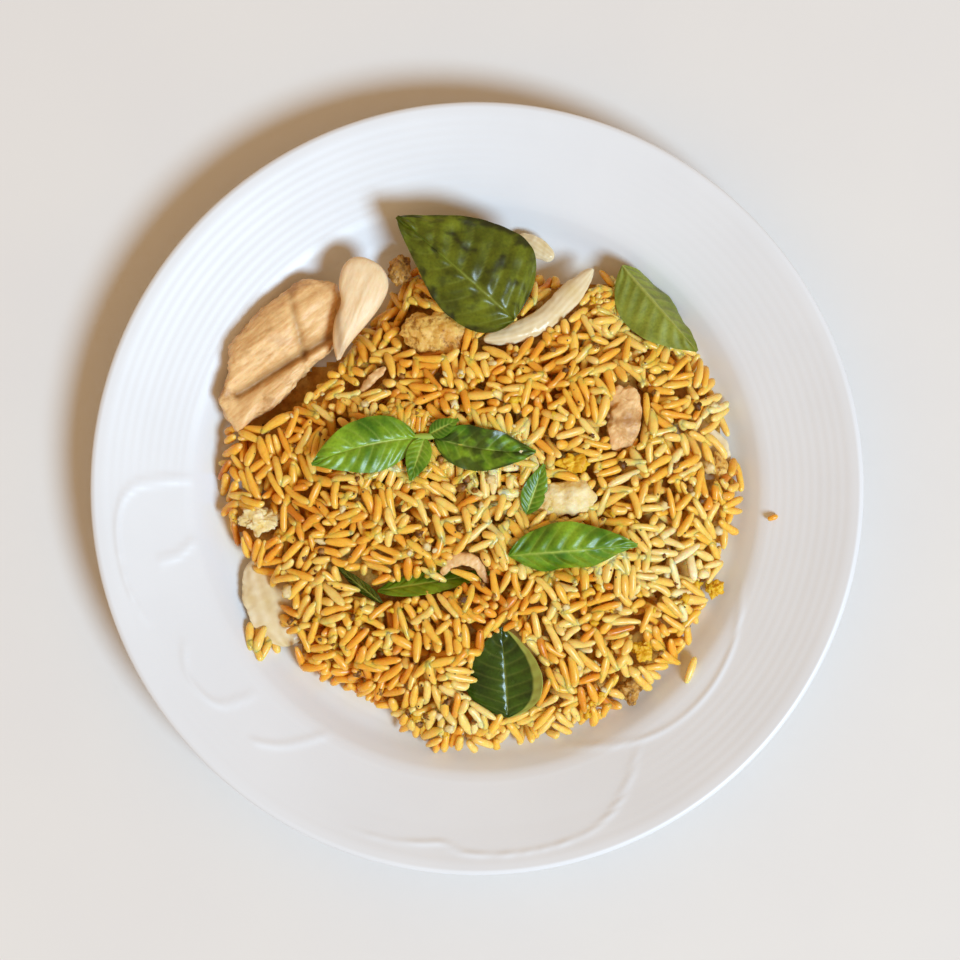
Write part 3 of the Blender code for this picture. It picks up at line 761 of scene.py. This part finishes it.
def make_rice_core():
    """The mash under the grains: a gridded sheet over the inner heap, closed down onto the plate."""
    core = primitive(bpy.ops.mesh.primitive_grid_add, "rice_core", x_subdivisions=110, y_subdivisions=110,
                     size=2 * 88 * MM)
    points = points_of(core)
    x, y = points[:, 0] / MM, points[:, 1] / MM
    i, j = (((v + REACH) / CELL).astype(int) for v in (x, y))
    heap = HEAP[i, j]
    outside = np.isnan(heap) | (rice_edge_distance(x, y) > -2.5)
    level = np.where(outside, plate_top(x, y), np.maximum(heap - SHELL - 0.3, plate_top(x, y)))
    points[:, 2] = (level + 0.25) * MM
    set_points(core, points)
    lone(core)
    bpy.ops.object.mode_set(mode="EDIT")
    edit = bmesh.from_edit_mesh(core.data)
    edit.verts.ensure_lookup_table()
    doomed = [edit.verts[k] for k in np.nonzero(outside)[0]]
    bmesh.ops.delete(edit, geom=doomed, context="VERTS")
    bmesh.update_edit_mesh(core.data)
    bpy.ops.mesh.select_all(action="SELECT")
    bpy.ops.mesh.extrude_region_move()
    edit = bmesh.from_edit_mesh(core.data)
    for vertex in edit.verts:
        if vertex.select:
            vertex.co.z = (plate_top(vertex.co.x / MM, vertex.co.y / MM) + 0.1) * MM
    bmesh.update_edit_mesh(core.data)
    bpy.ops.mesh.select_all(action="SELECT")
    bpy.ops.mesh.normals_make_consistent(inside=False)
    bpy.ops.object.mode_set(mode="OBJECT")
    smooth(core, 60)
    return finish_piece(core, rice_core_mash_and_gap_shade(), "rice_heap")


# Grains that lie apart, in mm: (x, y, direction, length, tone)
STRAY_GRAINS = [(69.8, -59.3, 70, 9.5, 0.75), (96.3, -9.5, 20, 3.6, 0.35)]
CLUMP_GRAINS = [(-4.2, 0.5, 92, 9.6), (-1.3, 1.2, 88, 10.4), (1.6, 0.4, 84, 10.2), (4.2, -1.2, 97, 8.4),
                (-2.6, -4.0, 120, 8.2), (0.6, -4.2, 62, 8.6), (2.6, 4.4, 100, 7.0), (-0.6, -0.4, 70, 9.4)]


def make_stray_rice(material):
    """The clump at the left of the front edge, and single grains on the plate."""
    low, high = (np.array(corner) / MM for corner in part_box("rice_clump"))
    middle = (low + high) / 2
    copies = []
    for k, (x, y, direction, length) in enumerate(CLUMP_GRAINS):
        shape = GRAIN_SHAPES[k % len(GRAIN_SHAPES)]
        px, py = middle[0] + x, middle[1] + y
        pz = plate_top(px, py) + 1.4 + (2.2 if k >= 7 else 0)
        matrix = grain_matrix(math.radians(direction), -0.05, k, length, GRAIN_WIDTH)
        copies.append(((shape[0], shape[1], tip_marks(shape[2], 0.4)), matrix, (px, py, pz),
                       {"tone": 0.6 + 0.05 * math.sin(3 * k)}))
    joined_copies("rice_clump_grains", copies, material, "rice_clump")
    copies = []
    for x, y, direction, length, tone in STRAY_GRAINS:
        shape = GRAIN_SHAPES[0]
        matrix = grain_matrix(math.radians(direction), 0, 1, length, min(GRAIN_WIDTH, length * 0.6))
        place = (x, y, plate_top(x, y) + 1.25)
        copies.append(((shape[0], shape[1], tip_marks(shape[2], 0.3)), matrix, place, {"tone": tone}))
    joined_copies("stray_grains", copies, material)


# Egg and crumbs --------------------------------------------------------------------------------------


def make_curd(name, node, material, seed, folds=0.28, size=5.0, level=5):
    """A torn lump of curd: a ball pushed into folds and knobs, fitted to its solid's box."""
    curd = primitive(bpy.ops.mesh.primitive_ico_sphere_add, name, subdivisions=level, radius=1)
    low, high = (np.array(corner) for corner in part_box(node))
    half = (high - low) / 2
    points = points_of(curd)
    body = points * half
    push = 0.9 * rough(body, size, seed, 2) - folds * np.abs(rough(body, size * 0.6, seed + 3, 2)) * 2
    push += 0.10 * rough(body, 1.3, seed + 7, 2)
    points = points * (1 + folds * push[:, None] * 1.6)
    points /= np.abs(points).max(axis=0)
    set_points(curd, points * half)
    seat(curd, node)
    smooth(curd, 80)
    return finish_piece(curd, material, node)


def make_egg():
    """Scrambled egg of three kinds, and browned crumbs of egg and meat."""
    white = scrambled_egg("egg_white_curd", "F6E6B8", "EBCD80", "B98A3A", 0.72)
    yolk = scrambled_egg("egg_yolk_curd", "F2CB3A", "DFA316", "B4700E", 0.7)
    golden = scrambled_egg("golden_egg_curd", "F0CC74", "D69C3C", "9A6218", 0.6)
    crumb = scrambled_egg("browned_crumb", "D0A050", "AC7830", "744A1A", 0.55)
    make_curd("egg_white_middle_curd", "egg_white_middle", white, 1.3, 0.2, 7)
    make_curd("egg_white_left_curd", "egg_white_left", white, 2.6, 0.35, 4)
    make_curd("egg_yolk_middle_curd", "egg_yolk_middle", yolk, 3.1, 0.3, 3.5)
    make_curd("egg_yolk_front_curd", "egg_yolk_front", yolk, 4.2, 0.35, 3)
    make_curd("egg_yolk_right_curd", "egg_yolk_right", yolk, 5.3, 0.35, 3)
    make_curd("egg_flake_right_curd", "egg_flake_right", golden, 6.7, 0.3, 3)
    make_curd("egg_ragged_curd", "egg_ragged", golden, 7.5, 0.2, 6, 6)
    make_curd("browned_crumb_back_curd", "browned_crumb_back", crumb, 8.4, 0.3, 3.2)
    make_curd("browned_crumb_front_curd", "browned_crumb_front", crumb, 9.9, 0.3, 3.2)


# Chicken ----------------------------------------------------------------------------------------------

CHUNK_OUTLINE = [(-83.0, 27.0), (-80.6, 21.0), (-76.5, 16.4), (-72.5, 20.5), (-66.5, 23.5), (-60, 30),
                 (-53, 38), (-46.5, 43.5), (-43.6, 52), (-43.4, 61.5), (-49, 65.8), (-56.5, 65.4),
                 (-62.5, 61.5), (-68.5, 57.2), (-74.6, 50.5), (-79.2, 44.5), (-80.0, 36)]
STRIP_OUTLINE = [(-44.2, 41.4), (-45.8, 48), (-45.2, 55), (-43.2, 60.5), (-43.8, 67), (-42.3, 72.5),
                 (-39, 75.2), (-34.5, 74.8), (-29.6, 71.5), (-27.8, 66), (-30.2, 60), (-34.5, 54.2),
                 (-38.6, 49.5), (-42.4, 44.5)]


def outline_body(name, outline, node, segments, rings, fullness):
    """A ball spread to fill an outline given in mm: its rim follows the outline, its crown is full."""
    body = primitive(bpy.ops.mesh.primitive_uv_sphere_add, name, segments=segments, ring_count=rings,
                     radius=1)
    points = points_of(body)
    rim = smooth_curve(outline, 360, closed=True)
    middle = rim.mean(axis=0)
    turn = np.unwrap(np.arctan2(rim[:, 1] - middle[1], rim[:, 0] - middle[0]))
    if turn[-1] < turn[0]:
        rim, turn = rim[::-1], turn[::-1]
    wanted = (np.arctan2(points[:, 1], points[:, 0]) - turn[0]) % (2 * math.pi) + turn[0]
    edge = np.column_stack([np.interp(wanted, turn, rim[:, k], period=2 * math.pi) for k in (0, 1)])
    share = np.hypot(points[:, 0], points[:, 1])[:, None] ** 0.85
    plan = middle + (edge - middle) * share
    low, high = (np.array(corner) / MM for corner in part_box(node))
    half = (high[2] - low[2]) / 2
    lift = np.sign(points[:, 2]) * np.abs(points[:, 2]) ** fullness * half
    return body, np.column_stack([plan, lift + (high[2] + low[2]) / 2]), points


def lengthwise(points, direction, size_along, size_across, seed, octaves=2):
    """Noise drawn out along a direction, for muscle fibre; points and sizes in mm."""
    turn = math.radians(direction)
    u = points[:, 0] * math.cos(turn) + points[:, 1] * math.sin(turn)
    v = points[:, 1] * math.cos(turn) - points[:, 0] * math.sin(turn)
    drawn = np.column_stack([u / size_along, v / size_across, points[:, 2] / size_across]) * MM
    return rough(drawn, 1.0, seed, octaves)


def line_distance(points, start, end):
    """Distance in mm of the points, in plan, from a straight line between two places."""
    start, end = np.array(start), np.array(end)
    run = end - start
    t = np.clip(((points[:, :2] - start) @ run) / (run @ run), 0, 1)
    return np.hypot(*(points[:, :2] - start - t[:, None] * run).T)


def make_chicken_chunk():
    """The big torn piece: long muscle bundles, a deep groove along them and a browned ragged lobe."""
    body, points, unit = outline_body("torn_chicken_chunk", CHUNK_OUTLINE, "chicken_chunk", 180, 90, 0.55)
    upper = np.clip(unit[:, 2], 0, 1) ** 0.5
    bundles = lengthwise(points, 40, 26, 5.5, 2.2)
    fibres = 1 - 2 * np.abs(lengthwise(points, 36, 9, 1.25, 5.1))
    groove = line_distance(points, (-46.5, 47.5), (-77, 28.5))
    second = line_distance(points, (-55, 40), (-60, 62))
    crease_shade_and_dark_patch = np.exp(-((groove / 1.5) ** 2)) + 0.5 * np.exp(-((second / 1.2) ** 2))
    lift = 1.6 * bundles + 0.22 * fibres - 2.4 * crease_shade_and_dark_patch - 2.6 * np.exp(-((groove / 6.5) ** 2))
    points[:, 2] += lift * upper
    ragged = 1.0 * rough(points * MM, 3.2, 4, 2) + 0.5 * rough(points * MM, 1.2, 6)
    outward = unit[:, :2] * (np.hypot(unit[:, 0], unit[:, 1])[:, None] ** 4)
    points[:, :2] += outward * ragged[:, None]
    set_points(body, points * MM)
    seat(body, "chicken_chunk")
    lobe = np.hypot(points[:, 0] + 74, points[:, 1] - 23)
    rim = np.hypot(unit[:, 0], unit[:, 1]) ** 6
    paint(body, "browned", np.clip(np.exp(-((lobe / 10) ** 2)) * 1.3 + 0.35 + 0.4 * rim, 0, 1))
    # Painted shade: the groove and the second crease darkened on the upper side, where the shape is dented.
    paint(body, "crease_shade_and_dark_patch", np.clip(crease_shade_and_dark_patch * 0.75, 0, 1) * upper)
    smooth(body, 80)
    meat = poached_chicken("torn_chicken_breast", "F2CC92", "E2B074", "A46A26", 38)
    finish_piece(body, meat, "chicken_chunk")
    return meat


def make_chicken_strip():
    """The smooth pale piece across the end of the big one, narrowing to a stringy tip."""
    body, points, _ = outline_body("smooth_chicken_strip", STRIP_OUTLINE, "chicken_strip", 120, 70, 0.72)
    fibres = lengthwise(points, 68, 18, 1.6, 1.4)
    rise = (points[:, 1] - 41) / 34
    points[:, 2] += 0.22 * fibres + 1.4 * rise
    tip = np.clip((50 - points[:, 1]) / 8, 0, 1)
    points[:, 2] += tip * 0.5 * lengthwise(points, 68, 8, 0.8, 8.8)
    set_points(body, points * MM)
    seat(body, "chicken_strip")
    paint(body, "browned", np.clip(0.1 + 0.5 * tip, 0, 1))
    # Painted shade along the strip's left edge, where it lies over the end of the big piece.
    edge = line_distance(points, (-44.3, 60), (-43, 44))
    paint(body, "crease_shade_and_dark_patch", 0.5 * np.exp(-((edge / 1.2) ** 2)))
    smooth(body, 80)
    finish_piece(body, poached_chicken("smooth_chicken_breast", "F6DDB6", "EFCF9E", "C08A48", 68),
                 "chicken_strip")


def make_swept(name, spine, widths, thicknesses, material, node, cup=0.0, grain=0.25, seed=1.0,
               segments=28, rings=72):
    """A ball drawn out along a curve, flattened to a strip; cup bows its section, grain roughens it."""
    strip = primitive(bpy.ops.mesh.primitive_uv_sphere_add, name, segments=segments, ring_count=rings,
                      radius=1)
    unit = points_of(strip)
    t = np.arccos(np.clip(unit[:, 2], -1, 1)) / math.pi
    girth = np.sqrt(np.clip(1 - np.abs(2 * t - 1) ** 5, 0, 1))
    turn = np.arctan2(unit[:, 1], unit[:, 0])
    girth[np.abs(unit[:, 2]) > 0.9999] = 0
    line = smooth_curve(spine, 200)
    here = np.column_stack([np.interp(t, np.linspace(0, 1, 200), line[:, k]) for k in range(3)])
    tangent = np.gradient(line, axis=0)
    tangent /= np.linalg.norm(tangent, axis=1)[:, None]
    forward = np.column_stack([np.interp(t, np.linspace(0, 1, 200), tangent[:, k]) for k in range(3)])
    side = np.cross(forward, (0, 0, 1))
    side /= np.linalg.norm(side, axis=1)[:, None]
    up = np.cross(side, forward)
    knots = np.linspace(0, 1, len(widths))
    half_w = np.interp(t, knots, widths) / 2 * girth
    half_t = np.interp(t, knots, thicknesses) / 2 * girth
    across = np.cos(turn)
    over = np.sign(np.sin(turn)) * np.abs(np.sin(turn)) ** 0.7
    points = here + side * (half_w * across)[:, None] + up * (half_t * over - cup * across**2)[:, None]
    fine = rough(points * MM, 2.2, seed, 2) * grain
    points += up * fine[:, None] * np.sign(over)[:, None] + side * (fine * across)[:, None]
    set_points(strip, points * MM)
    paint(strip, "lines", 0.5 + 0.5 * np.cos(across * 14 + 1.5 * rough(points * MM, 9, seed + 2)))
    paint(strip, "browned", np.full(len(points), 0.5))
    paint(strip, "crease_shade_and_dark_patch", np.clip(0.3 * rough(points * MM, 3, seed + 5), 0, 1))
    seat(strip, node)
    smooth(strip, 80)
    return finish_piece(strip, material, node)


def make_chicken():
    meat = make_chicken_chunk()
    make_chicken_strip()
    make_swept("arched_shred", [(-11.5, -27.5, 25.6), (-6.5, -22.8, 27.6), (-1, -23.4, 27.8),
                                (3.6, -30.5, 26)], [2.4, 4.4, 4, 1.6], [1.8, 2.4, 2.4, 1.4], meat,
               "chicken_shred_arch", grain=0.5)
    make_swept("forked_shred", [(-37.5, 31, 23.2), (-34, 35, 24.8), (-29.5, 39, 25)], [1.8, 3.4, 2],
               [1.2, 1.8, 1.4], meat, "chicken_shred_fork", grain=0.5, seed=4)
    stringy = make_curd("stringy_lump", "chicken_shred_lump", meat, 11.2, 0.22, 7, 6)
    paint(stringy, "browned", 0.75 + 0.25 * rough(points_of(stringy), 6, 3))
    paint(stringy, "crease_shade_and_dark_patch", np.clip(rough(points_of(stringy), 4, 9) - 0.2, 0, 1))


def make_onion():
    """The bent strip, the two petals under the rice and the scrap at the back."""
    onion = soft_onion()
    make_swept("onion_strip_flesh", [(1.5, 48, 23.6), (12, 50, 24.2), (22, 55, 23.4), (30.5, 63.5, 20.6),
                                     (37.5, 71.5, 17.4)], [5, 7, 7.4, 8, 3.6], [1.6, 2.2, 2.4, 2.4, 1.4],
               onion, "onion_strip", cup=0.9, seed=2, segments=48)
    make_swept("onion_petal_left_flesh", [(-73, -23, 10.4), (-68, -32, 11.6), (-64, -42, 11.8),
                                          (-61, -52, 10.2)], [10, 20, 20, 10], [1.6, 2.2, 2.2, 1.6], onion,
               "onion_petal_left", cup=0.6, seed=3, segments=64)
    make_swept("onion_petal_right_flesh", [(63, 21, 13.6), (69, 16, 14.4), (76, 10, 13.2), (80, 4, 11.6)],
               [10, 17, 17, 9], [1.8, 2.4, 2.4, 1.6], onion, "onion_petal_right", cup=0.6, seed=5,
               segments=64)
    make_swept("onion_scrap_flesh", [(13, 82, 12.2), (19, 79, 13.2), (25, 75, 13.2)], [5, 7, 4],
               [1.8, 2.4, 1.6], onion, "onion_scrap", cup=0.4, seed=7, segments=40)


# Basil --------------------------------------------------------------------------------------------------

LEAVES = {
    "basil_big": {"place": (12, 54), "yaw": 139, "length": 50, "width": 44, "left_share": 0.62,
                  "shoulder": 0.58, "arch": 24, "pitch": 2, "fold_left": -10, "curl_left": -14,
                  "fold_right": -2, "curl_right": -16, "wave": 0.8, "quilt": 0.85, "wilt": 0.85},
    "basil_right": {"place": (47, 72), "yaw": -49, "length": 37, "width": 24, "arch": 20, "pitch": 2,
                    "fold_left": -54, "curl_left": -20, "fold_right": -10, "curl_right": -12, "wave": 0.5,
                    "quilt": -0.4},
    "basil_tiny": {"place": (16, -8), "yaw": 71, "length": 17, "width": 8, "arch": 20, "pitch": 8,
                   "fold_left": 18, "fold_right": 18, "curl_left": -16, "curl_right": -16, "quilt": 0.25},
    "basil_middle": {"place": (10.5, -21.5), "yaw": 5, "length": 41.5, "width": 19, "arch": 38, "pitch": 2,
                     "fold_left": 4, "curl_left": -26, "fold_right": -42, "curl_right": -20, "wave": 0.7,
                     "quilt": 0.6, "wilt": 0.15},
    "basil_buried_near": {"place": (-30.5, -37), "yaw": 141, "length": 20, "width": 8, "roll": -62,
                          "arch": 14, "quilt": 0.2},
    "basil_buried_far": {"place": (-32, -33), "yaw": 9, "length": 38, "width": 10, "roll": -48, "arch": 8,
                         "curl_left": 12, "quilt": 0.25},
    "basil_front": {"place": (10, -74), "yaw": 94, "length": 30, "width": 27, "pitch": 9, "arch": 12,
                    "fold_left": -4, "curl_left": -12, "fold_right": 6, "curl_right": 42, "quilt": 0.4,
                    "pale_edge": 0.3},
}
SPRIG = {
    "left": {"start": 2.4, "yaw": 194, "length": 35, "width": 18, "arch": 26, "sweep": 22, "pitch": 6,
             "fold_left": 10, "curl_left": -30, "fold_right": 10, "curl_right": -30, "wave": 0.5,
             "quilt": 0.5},
    "front": {"start": 0.3, "yaw": 252, "length": 15, "width": 8, "arch": 18, "pitch": 14,
              "fold_left": 14, "curl_left": -20, "fold_right": 14, "curl_right": -20, "quilt": 0.25},
    "back": {"start": 1.6, "yaw": 26, "length": 12, "width": 6, "arch": 20, "pitch": 30,
             "fold_left": 14, "curl_left": -20, "fold_right": 14, "curl_right": -20, "quilt": 0.2},
    "right": {"start": 2.8, "yaw": -8, "length": 33, "width": 15, "arch": 10, "sweep": 20, "pitch": 6,
              "twist": -30, "fold_left": 22, "curl_left": 26, "fold_right": 8, "curl_right": -26,
              "wave": 0.6, "quilt": 0.5, "wilt": 0.75, "dark": 0.8},
}


def blade_outline(t, shoulder):
    """Share of a leaf's half width, from its stalk at 0 to its tip at 1; a low shoulder is a broad base."""
    return np.sin(np.pi * np.clip(t, 0, 1) ** shoulder) ** 0.85


def blade_line(leaf, t):
    """Midrib points in mm and the side and up directions there."""
    steps = 90
    at = np.linspace(0, 1, steps)
    pitch = np.radians(leaf.get("arch", 0) * (0.5 - at) + leaf.get("pitch", 0))
    yaw = np.radians(leaf["yaw"] + leaf.get("sweep", 0) * (at - 0.5))
    roll = np.radians(leaf.get("roll", 0) + leaf.get("twist", 0) * at)
    forward = np.column_stack([np.cos(pitch) * np.cos(yaw), np.cos(pitch) * np.sin(yaw), np.sin(pitch)])
    side = np.column_stack([-np.sin(yaw), np.cos(yaw), np.zeros(steps)])
    up = np.cross(forward, side)
    turned_side = side * np.cos(roll)[:, None] + up * np.sin(roll)[:, None]
    turned_up = up * np.cos(roll)[:, None] - side * np.sin(roll)[:, None]
    middle = np.cumsum(forward, axis=0) * leaf["length"] / (steps - 1)

    def pick(values):
        return np.column_stack([np.interp(t, at, values[:, k]) for k in range(3)])

    return pick(middle), pick(turned_side), pick(turned_up)


def blade_veins(leaf, t, s, half_mm):
    """Strength of the midrib and side veins, 0 to 1, and the quilted swelling between them."""
    aside = np.abs(s) * half_mm
    midrib = np.exp(-((aside / (0.55 * (1.2 - t))) ** 2))
    spacing = 0.125
    phase = (t - 0.17 * np.abs(s) ** 1.25 - np.where(s > 0, 0.03, 0.085)) / spacing
    away = np.abs(phase - np.round(phase)) * spacing * leaf["length"]
    lateral = np.exp(-((away / 0.34) ** 2)) * np.clip(1.15 - np.abs(s), 0, 1) ** 0.7
    swell = (0.5 - 0.5 * np.cos(2 * np.pi * phase)) * np.clip(1.05 - np.abs(s), 0, 1) ** 0.6
    swell *= 1 - np.exp(-((aside / 1.6) ** 2))
    return midrib, lateral, swell


def make_blade(name, leaf, columns=64, rows=84):
    """A flat grid bent, folded and quilted into one leaf blade, then given its thickness."""
    blade = primitive(bpy.ops.mesh.primitive_grid_add, name, x_subdivisions=rows, y_subdivisions=columns,
                      size=1)
    flat = points_of(blade)
    t, s = flat[:, 0] + 0.5, flat[:, 1] * 2
    half = leaf["width"] / 2 * np.where(s > 0, leaf.get("left_share", 1), 1)
    reach = np.abs(s) * np.maximum(half * blade_outline(t, leaf.get("shoulder", 0.78)), 0.5)
    sign = np.where(s > 0, 1, -1)
    fold = np.radians(np.where(s > 0, leaf.get("fold_left", 0), leaf.get("fold_right", 0)))
    curl = np.radians(np.where(s > 0, leaf.get("curl_left", 0), leaf.get("curl_right", 0))) / half
    curl = np.where(np.abs(curl) < 1e-6, 1e-6, curl)
    lean = fold + curl * reach
    out = (np.sin(lean) - np.sin(fold)) / curl
    rise = (np.cos(fold) - np.cos(lean)) / curl
    midrib, lateral, swell = blade_veins(leaf, t, s, half)
    quilt = leaf.get("quilt", 0.4)
    seed = leaf["yaw"] / 50
    spread = np.column_stack([t * leaf["length"], s * half, np.zeros(len(t))]) * MM
    lift = quilt * (swell - 0.55 * midrib - 0.12 * lateral) + 0.5 * abs(quilt) * rough(spread, 5, seed)
    lift += leaf.get("wave", 0) * s * s * np.sin(2 * np.pi * (2.2 * t + 0.2 * sign))
    lift += 0.35 * np.abs(s) ** 6 * rough(spread, 3, seed + 4)
    middle, side, up = blade_line(leaf, t)
    out = out - np.sin(lean) * lift
    rise = rise + np.cos(lean) * lift
    points = middle + side * (sign * out)[:, None] + up * rise[:, None]
    set_points(blade, points * MM)
    margin = np.clip((leaf.get("pale_edge", 0) - 1 - s) / 0.06, 0, 1)
    veins = (0.85 * midrib + 0.35 * lateral) * (0.4 if "pale_edge" in leaf else 1)
    paint(blade, "vein", np.clip(np.maximum(veins, margin), 0, 1))
    edge = np.clip((np.abs(s) - 0.72) / 0.28, 0, 1)
    mark = leaf.get("dark", 0) + rough(spread, 4.5, seed + 9, 3) * 1.6 + edge * np.where(s < 0, 0.9, 0.3)
    mark = np.clip(mark - 0.25, 0, 1)
    paint(blade, "wilt", mark * leaf.get("wilt", 0))
    apply_modifier(blade, "SOLIDIFY", thickness=0.32 * MM, offset=0)
    return blade


def make_basil():
    """Seven separate leaves and the four-leaved sprig."""
    bright = basil_leaf("fresh_basil", "447410", "8CB026", "B0C458")
    dark = basil_leaf("wilted_basil", "464C06", "76801C", "868E34")
    deep = basil_leaf("deep_basil", "22380A", "3F5A12", "A2A84E", low_gloss=0.16, high_gloss=0.34)
    pale = basil_leaf("basil_underside", "768026", "949E38", "A8AE58", low_gloss=0.45, high_gloss=0.6)
    kinds = {"basil_big": dark, "basil_right": pale, "basil_tiny": bright, "basil_middle": bright,
             "basil_buried_near": deep, "basil_buried_far": bright, "basil_front": deep}
    for node, leaf in LEAVES.items():
        blade = make_blade(node + "_blade", leaf)
        seat(blade, node)
        smooth(blade, 70)
        finish_piece(blade, kinds[node], node)
    parts = []
    for part, leaf in SPRIG.items():
        blade = make_blade("sprig_" + part, leaf)
        yaw = math.radians(leaf["yaw"])
        shift = np.array([math.cos(yaw), math.sin(yaw), 0]) * leaf["start"] * MM
        set_points(blade, points_of(blade) + shift)
        parts.append(blade)
    stem = primitive(bpy.ops.mesh.primitive_uv_sphere_add, "basil_sprig_blades", segments=24, ring_count=16,
                     radius=1)
    set_points(stem, points_of(stem) * np.array([4.5, 1.1, 1.1]) * MM)
    paint(stem, "vein", np.full(len(stem.data.vertices), 0.7))
    paint(stem, "wilt", np.zeros(len(stem.data.vertices)))
    for part in parts:
        part.select_set(True)
    bpy.ops.object.join()
    seat(stem, "basil_sprig")
    smooth(stem, 70)
    finish_piece(stem, bright, "basil_sprig")


# Scattered bits ---------------------------------------------------------------------------------------


def bit_shape(name, level, seed, folds):
    """A small ragged crumb, one unit across."""
    bit = primitive(bpy.ops.mesh.primitive_ico_sphere_add, name, subdivisions=level, radius=0.5)
    points = points_of(bit)
    push = np.array([noise.noise(Vector(p) * 3.1 + Vector((seed, 0, 0))) for p in points])
    points *= (1 + folds * push)[:, None]
    faces = np.array([list(face.vertices) for face in bit.data.polygons])
    bpy.data.objects.remove(bit, do_unlink=True)
    return points, faces, np.zeros(len(points))


def scatter_bits(name, heights, count, sizes, flatness, material, level=2, seed=1.0, reach=80):
    """Small bits lying on the grains, as one joined mesh."""
    shapes = [bit_shape(f"{name}_{k}", level, seed + 3 * k, 0.9) for k in range(4)]
    copies = []
    while len(copies) < count:
        x, y = rng.uniform(-reach, reach, 2)
        i, j = int((x + REACH) / CELL), int((y + REACH) / CELL)
        if not RICE_HERE[i, j] or rice_edge_distance(x, y) > -3 or PIECES[i, j] > heights[i, j] - 0.4:
            continue
        size = rng.uniform(*sizes)
        level_here = np.median(heights[footprint(x, y, size * 0.4)])
        turn = Matrix.Rotation(rng.random() * 6.3, 3, "Z") @ Matrix.Rotation(rng.normal(0, 0.5), 3, "X")
        matrix = np.array(turn) @ np.diag([size, size * rng.uniform(0.6, 1), size * flatness])
        copies.append((shapes[rng.integers(4)], matrix, (x, y, level_here + size * flatness * 0.1), {}))
    return joined_copies(name, copies, material)


def make_bits(heights):
    scatter_bits("pepper_specks", heights, 170, (0.35, 0.9), 0.7, pepper_crumb(), 1, 2.0)
    yolk = scrambled_egg("yolk_crumb", "F0C534", "D99A14", "A8680E", 0.7)
    scatter_bits("yolk_crumbs", heights, 46, (1.2, 3.4), 0.6, yolk, 2, 5.0)
    white = scrambled_egg("white_crumb", "F3E2B4", "E2C27A", "B98A3A", 0.7)
    scatter_bits("white_crumbs", heights, 40, (1.4, 4.2), 0.5, white, 2, 8.0)
    brown = scrambled_egg("fried_crumb", "B98236", "8E5A1C", "5A340E", 0.5)
    scatter_bits("fried_crumbs", heights, 70, (1.0, 3.2), 0.6, brown, 2, 11.0)


# Stage -----------------------------------------------------------------------------------------------

VIEW_HEIGHT = 0.75
VIEW_WIDTH = 0.310
VIEW_MIDDLE = (0.00097, 0.00275)
KEY_DIRECTION = -42
KEY_HEIGHT = 50


def make_stage():
    """Pale table, one soft window-like lamp from the front right, a warm room around."""
    floor = primitive(bpy.ops.mesh.primitive_grid_add, "table", x_subdivisions=4, y_subdivisions=4, size=5)
    floor.data.materials.append(painted_table())
    scene = bpy.context.scene
    camera = bpy.data.objects.new("camera", bpy.data.cameras.new("camera"))
    scene.collection.objects.link(camera)
    scene.camera = camera
    camera.location = (*VIEW_MIDDLE, VIEW_HEIGHT + 0.022)
    camera.data.sensor_width = 36
    camera.data.lens = 36 * VIEW_HEIGHT / VIEW_WIDTH
    lamp = bpy.data.lights.new("window", "AREA")
    lamp.shape = "DISK"
    lamp.size = 2.2
    lamp.energy = 385
    lamp.color = (0.58, 0.80, 1.0)
    key = bpy.data.objects.new("window", lamp)
    scene.collection.objects.link(key)
    turn, rise = math.radians(KEY_DIRECTION), math.radians(KEY_HEIGHT)
    away = Vector((math.cos(turn) * math.cos(rise), math.sin(turn) * math.cos(rise), math.sin(rise)))
    key.location = away * 6
    key.rotation_euler = away.to_track_quat("Z", "Y").to_euler()
    world = bpy.data.worlds.new("room")
    scene.world = world
    world.use_nodes = True
    tree = world.node_tree
    room = tree.nodes["Background"]
    room.inputs["Color"].default_value = (1.0, 0.66, 0.35, 1)
    room.inputs["Strength"].default_value = 0.56
    backdrop = add_node(tree, "ShaderNodeBackground", Color=(0.8, 0.79, 0.78, 1), Strength=1.0)
    path = add_node(tree, "ShaderNodeLightPath")
    mix = add_node(tree, "ShaderNodeMixShader", {0: path.outputs["Is Camera Ray"], 1: room.outputs[0],
                                                2: backdrop.outputs[0]})
    tree.links.new(mix.outputs[0], tree.nodes["World Output"].inputs["Surface"])
    scene.view_settings.view_transform = "Standard"


def main():
    make_stage()
    make_plate()
    heights, grains = make_rice()
    make_egg()
    make_chicken()
    make_onion()
    make_basil()
    make_bits(heights)
    print("grains laid:", grains)


main()
